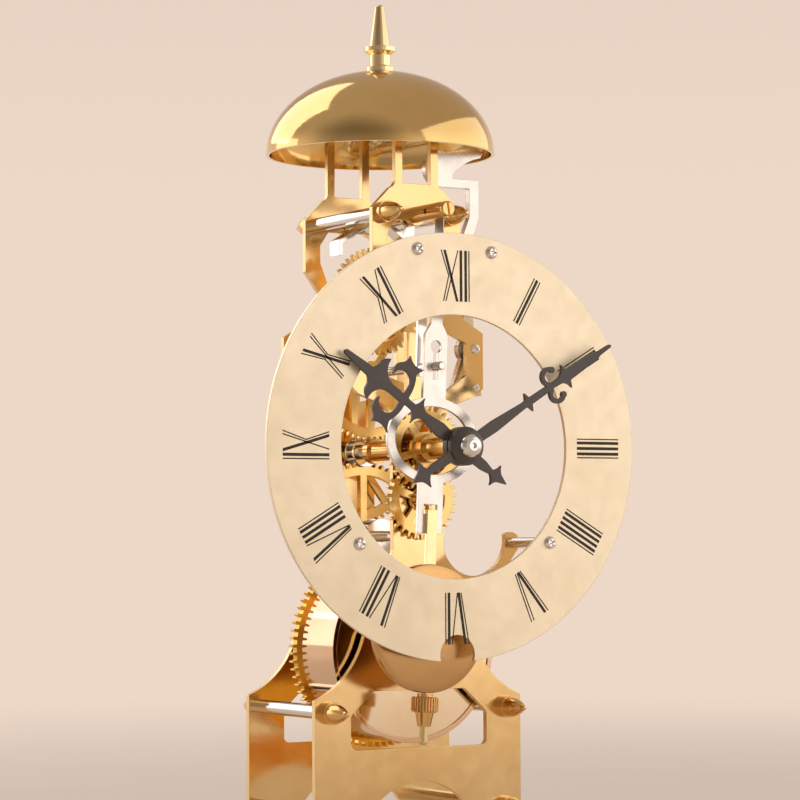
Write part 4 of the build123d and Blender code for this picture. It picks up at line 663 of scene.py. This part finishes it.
def threadRidge(style):
    # one long ridge wound up the end of the rod
    foot = heightsAlong("pendulum_rod")[0]
    up = nutAxis.normalized()
    side = up.cross(Vector((0, 1, 0))).normalized()
    front = side.cross(up)
    ridge = ((style["root"], -style["flank"]), (style["crest"], 0), (style["root"], style["flank"]))
    shape = bmesh.new()
    rows = []
    count = int(style["length"] / style["pitch"] * style["steps"])
    for step in range(count + 1):
        angle = 2 * math.pi * step / style["steps"]
        height = foot / mm + style["start"] + style["pitch"] * step / style["steps"]
        way = side * math.cos(angle) + front * math.sin(angle)
        row = []
        for reach, lift in ridge:
            row.append(shape.verts.new(nutPivot + (way * reach + up * (height + lift)) * mm))
        rows.append(row)
    for row, after in zip(rows, rows[1:]):
        for lane in range(len(ridge)):
            beside = (lane + 1) % len(ridge)
            shape.faces.new((row[lane], row[beside], after[beside], after[lane]))
    shape.faces.new(rows[0])
    shape.faces.new(rows[-1])
    bmesh.ops.recalc_face_normals(shape, faces=shape.faces)
    return meshFrom(shape, "rodThread")


addPiece("rodThread", threadRidge(rodThread), "uprightBrassPaintedHighlight", "pendulum")

handNutHole = {"radius": 0.75, "depth": 0.7, "steps": 32}  # mm


def nutHole(style):
    low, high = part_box("hand_nut")
    hole = bmesh.new()
    bmesh.ops.create_cone(hole, cap_ends=True, segments=style["steps"], radius1=style["radius"] * mm,
                          radius2=style["radius"] * mm, depth=2 * style["depth"] * mm)
    bmesh.ops.rotate(hole, matrix=Matrix.Rotation(math.pi / 2, 3, "X"), verts=hole.verts)
    bmesh.ops.translate(hole, vec=faceMiddle(low, high), verts=hole.verts)
    return meshFrom(hole, "hole")


carve("hand_nut", "handNutBored", [nutHole(handNutHole)])
print("rating nut, bob, rod thread and hand nut made")


hammerSpring = addPiece("hammerSpringStrip", nodes["hammer_spring"].data.copy(), "springSteel", None)
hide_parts("hammer_spring")
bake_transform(hammerSpring)


floorSetup = {
    "radius": 6.0, "steps": 96,  # m
    "pale": "#F5ECE3", "deep": "#F0E6DC", "mottle": 40, "roughness": 0.9, "specular": 0.2,  # mottle in mm
    "shadowReach": 0.2, "fadeReach": 0.8,  # m from the clock; between them the floor turns to backdrop
}
roomSetup = {
    "horizon": "#EDD8C8", "zenith": "#B6A69A", "low": 0.1, "high": 0.5,  # sines of elevation
    "strength": 1, "darkStrength": 0.4, "darkSide": (-0.82, -0.57, 0),
    "darkFrom": 0.45, "darkTo": 0.95,  # cosines of the angle from the dark side
}


def sideShade(tree, source, output, setup):
    # the room is dimmer towards the front left, which gives the metal its dark side
    way = addNode(tree, "ShaderNodeVectorMath", {"operation": "NORMALIZE"}, {"Vector": (source, output)})
    facing = addNode(tree, "ShaderNodeVectorMath", {"operation": "DOT_PRODUCT"}, {0: (way, "Vector")})
    facing.inputs[1].default_value = setup["darkSide"]
    shade = addNode(tree, "ShaderNodeMapRange",
                    {"interpolation_type": "SMOOTHSTEP",
                     "From Min": setup["darkFrom"], "From Max": setup["darkTo"],
                     "To Min": setup["strength"], "To Max": setup["darkStrength"]},
                    {"Value": (facing, "Value")})
    # the camera sees it pale all round
    path = addNode(tree, "ShaderNodeLightPath")
    return addNode(tree, "ShaderNodeMath", {"operation": "MAXIMUM"},
                   {0: (shade, "Result"), 1: (path, "Is Camera Ray")})


def makeFloor(setup, room):
    shape = bmesh.new()
    bmesh.ops.create_circle(shape, cap_ends=True, segments=setup["steps"], radius=setup["radius"])
    mesh = meshFrom(shape, "studioFloor")
    floor = bpy.data.objects.new("studioFloor", mesh)
    bpy.context.collection.objects.link(floor)
    floor.location.z = cadBox[0].z
    # matt studio paper: even and pale, with a faint mottle
    paper = bpy.data.materials.new("mattStudioPaper")
    paper.use_nodes = True
    tree = paper.node_tree
    shader = tree.nodes["Principled BSDF"]
    shader.inputs["Roughness"].default_value = setup["roughness"]
    shader.inputs["Specular IOR Level"].default_value = setup["specular"]
    place = addNode(tree, "ShaderNodeTexCoord")
    mottle = addNode(tree, "ShaderNodeTexNoise", {"Scale": 1 / (setup["mottle"] * mm), "Detail": 4},
                     {"Vector": (place, "Object")})
    colours = addNode(tree, "ShaderNodeValToRGB", {}, {"Fac": (mottle, "Fac")})
    colours.color_ramp.elements[0].color = linear(setup["deep"])
    colours.color_ramp.elements[1].color = linear(setup["pale"])
    tree.links.new(colours.outputs["Color"], shader.inputs["Base Color"])

    # far from the clock, what looks at the paper sees the pale backdrop instead
    away = addNode(tree, "ShaderNodeVectorMath", {"operation": "LENGTH"}, {"Vector": (place, "Object")})
    fade = addNode(tree, "ShaderNodeMapRange",
                   {"interpolation_type": "SMOOTHSTEP", "From Min": setup["shadowReach"],
                    "From Max": setup["fadeReach"]}, {"Value": (away, "Value")})
    path = addNode(tree, "ShaderNodeLightPath")
    seen = addNode(tree, "ShaderNodeMath", {"operation": "ADD"},
                   {0: (path, "Is Camera Ray"), 1: (path, "Is Glossy Ray")})
    seenAny = addNode(tree, "ShaderNodeMath", {"operation": "ADD", "use_clamp": True},
                      {0: (seen, "Value"), 1: (path, "Is Transmission Ray")})
    share = addNode(tree, "ShaderNodeMath", {"operation": "MULTIPLY"},
                    {0: (fade, "Result"), 1: (seenAny, "Value")})
    shade = sideShade(tree, place, "Object", room)
    backdrop = addNode(tree, "ShaderNodeEmission", {"Color": linear(room["horizon"])},
                       {"Strength": (shade, "Value")})
    mixed = addNode(tree, "ShaderNodeMixShader", {},
                    {"Fac": (share, "Value"), 1: (shader, "BSDF"), 2: (backdrop, "Emission")})
    tree.links.new(mixed.outputs["Shader"], tree.nodes["Material Output"].inputs["Surface"])
    mesh.materials.append(paper)


makeFloor(floorSetup, roomSetup)


def makeRoom(setup):
    # pale at eye level and greyer overhead
    world = bpy.data.worlds.new("studioRoom")
    bpy.context.scene.world = world
    world.use_nodes = True
    tree = world.node_tree
    sky = tree.nodes["Background"]
    place = addNode(tree, "ShaderNodeTexCoord")
    parts = addNode(tree, "ShaderNodeSeparateXYZ", {}, {"Vector": (place, "Generated")})
    colours = addNode(tree, "ShaderNodeValToRGB", {}, {"Fac": (parts, "Z")})
    colours.color_ramp.interpolation = "EASE"
    colours.color_ramp.elements[0].position = setup["low"]
    colours.color_ramp.elements[0].color = linear(setup["horizon"])
    colours.color_ramp.elements[1].position = setup["high"]
    colours.color_ramp.elements[1].color = linear(setup["zenith"])
    tree.links.new(colours.outputs["Color"], sky.inputs["Color"])
    shade = sideShade(tree, place, "Generated", setup)
    tree.links.new(shade.outputs["Value"], sky.inputs["Strength"])


makeRoom(roomSetup)

softboxDistance = 1.25  # m
softboxes = {
    # azimuth from the front to the right and elevation in degrees, size in metres; radiance 1 is white
    "windowSoftbox": {"azimuth": 63, "elevation": 17, "size": (2.5, 1.05), "radiance": 0.68},
    "backSoftbox": {"azimuth": -156, "elevation": 39, "size": (1.0, 1.1), "radiance": 1.2},
    "edgeSoftbox": {"azimuth": -140, "elevation": 9, "size": (0.8, 0.45), "radiance": 0.9},
}
lookAt = Vector((0, 0, (cadBox[0].z + cadBox[1].z) / 2))
for name, setup in softboxes.items():
    width, height = setup["size"]
    lamp = bpy.data.lights.new(name, "AREA")
    lamp.shape = "RECTANGLE"
    lamp.size = width
    lamp.size_y = height
    lamp.energy = setup["radiance"] * math.pi * width * height
    holder = bpy.data.objects.new(name, lamp)
    bpy.context.collection.objects.link(holder)
    away = directionTo(setup["azimuth"], setup["elevation"])
    holder.location = lookAt + away * softboxDistance
    holder.rotation_mode = "QUATERNION"
    holder.rotation_quaternion = (-away).to_track_quat("-Z", "Y")
    holder.visible_camera = False
print("floor, room and softboxes placed")

cameraSetup = {
    "azimuth": -30.73, "elevation": -2.801, "roll": -0.316,  # degrees, from the left and a little below
    "fromHands": (-391.5, -630.5, -24.25),  # mm from the hand centre on the dial's front face
    "lens": 130.4,  # mm, on 36 mm film
}


def placeCamera(setup):
    roll = math.radians(setup["roll"])
    back = directionTo(setup["azimuth"], setup["elevation"])
    right = (-back).cross(Vector((0, 0, 1))).normalized()
    up = right.cross(-back)
    across = right * math.cos(roll) + up * math.sin(roll)
    upright = up * math.cos(roll) - right * math.sin(roll)
    lens = bpy.data.cameras.new("photoCamera")
    lens.lens = setup["lens"]
    camera = bpy.data.objects.new("photoCamera", lens)
    bpy.context.collection.objects.link(camera)
    turn = Matrix((across, upright, back)).transposed().to_4x4()
    place = handCentre + Vector(setup["fromHands"]) * mm
    camera.matrix_world = Matrix.Translation(place) @ turn
    bpy.context.scene.camera = camera


placeCamera(cameraSetup)
bpy.context.scene.view_settings.view_transform = "Standard"
print("camera placed")
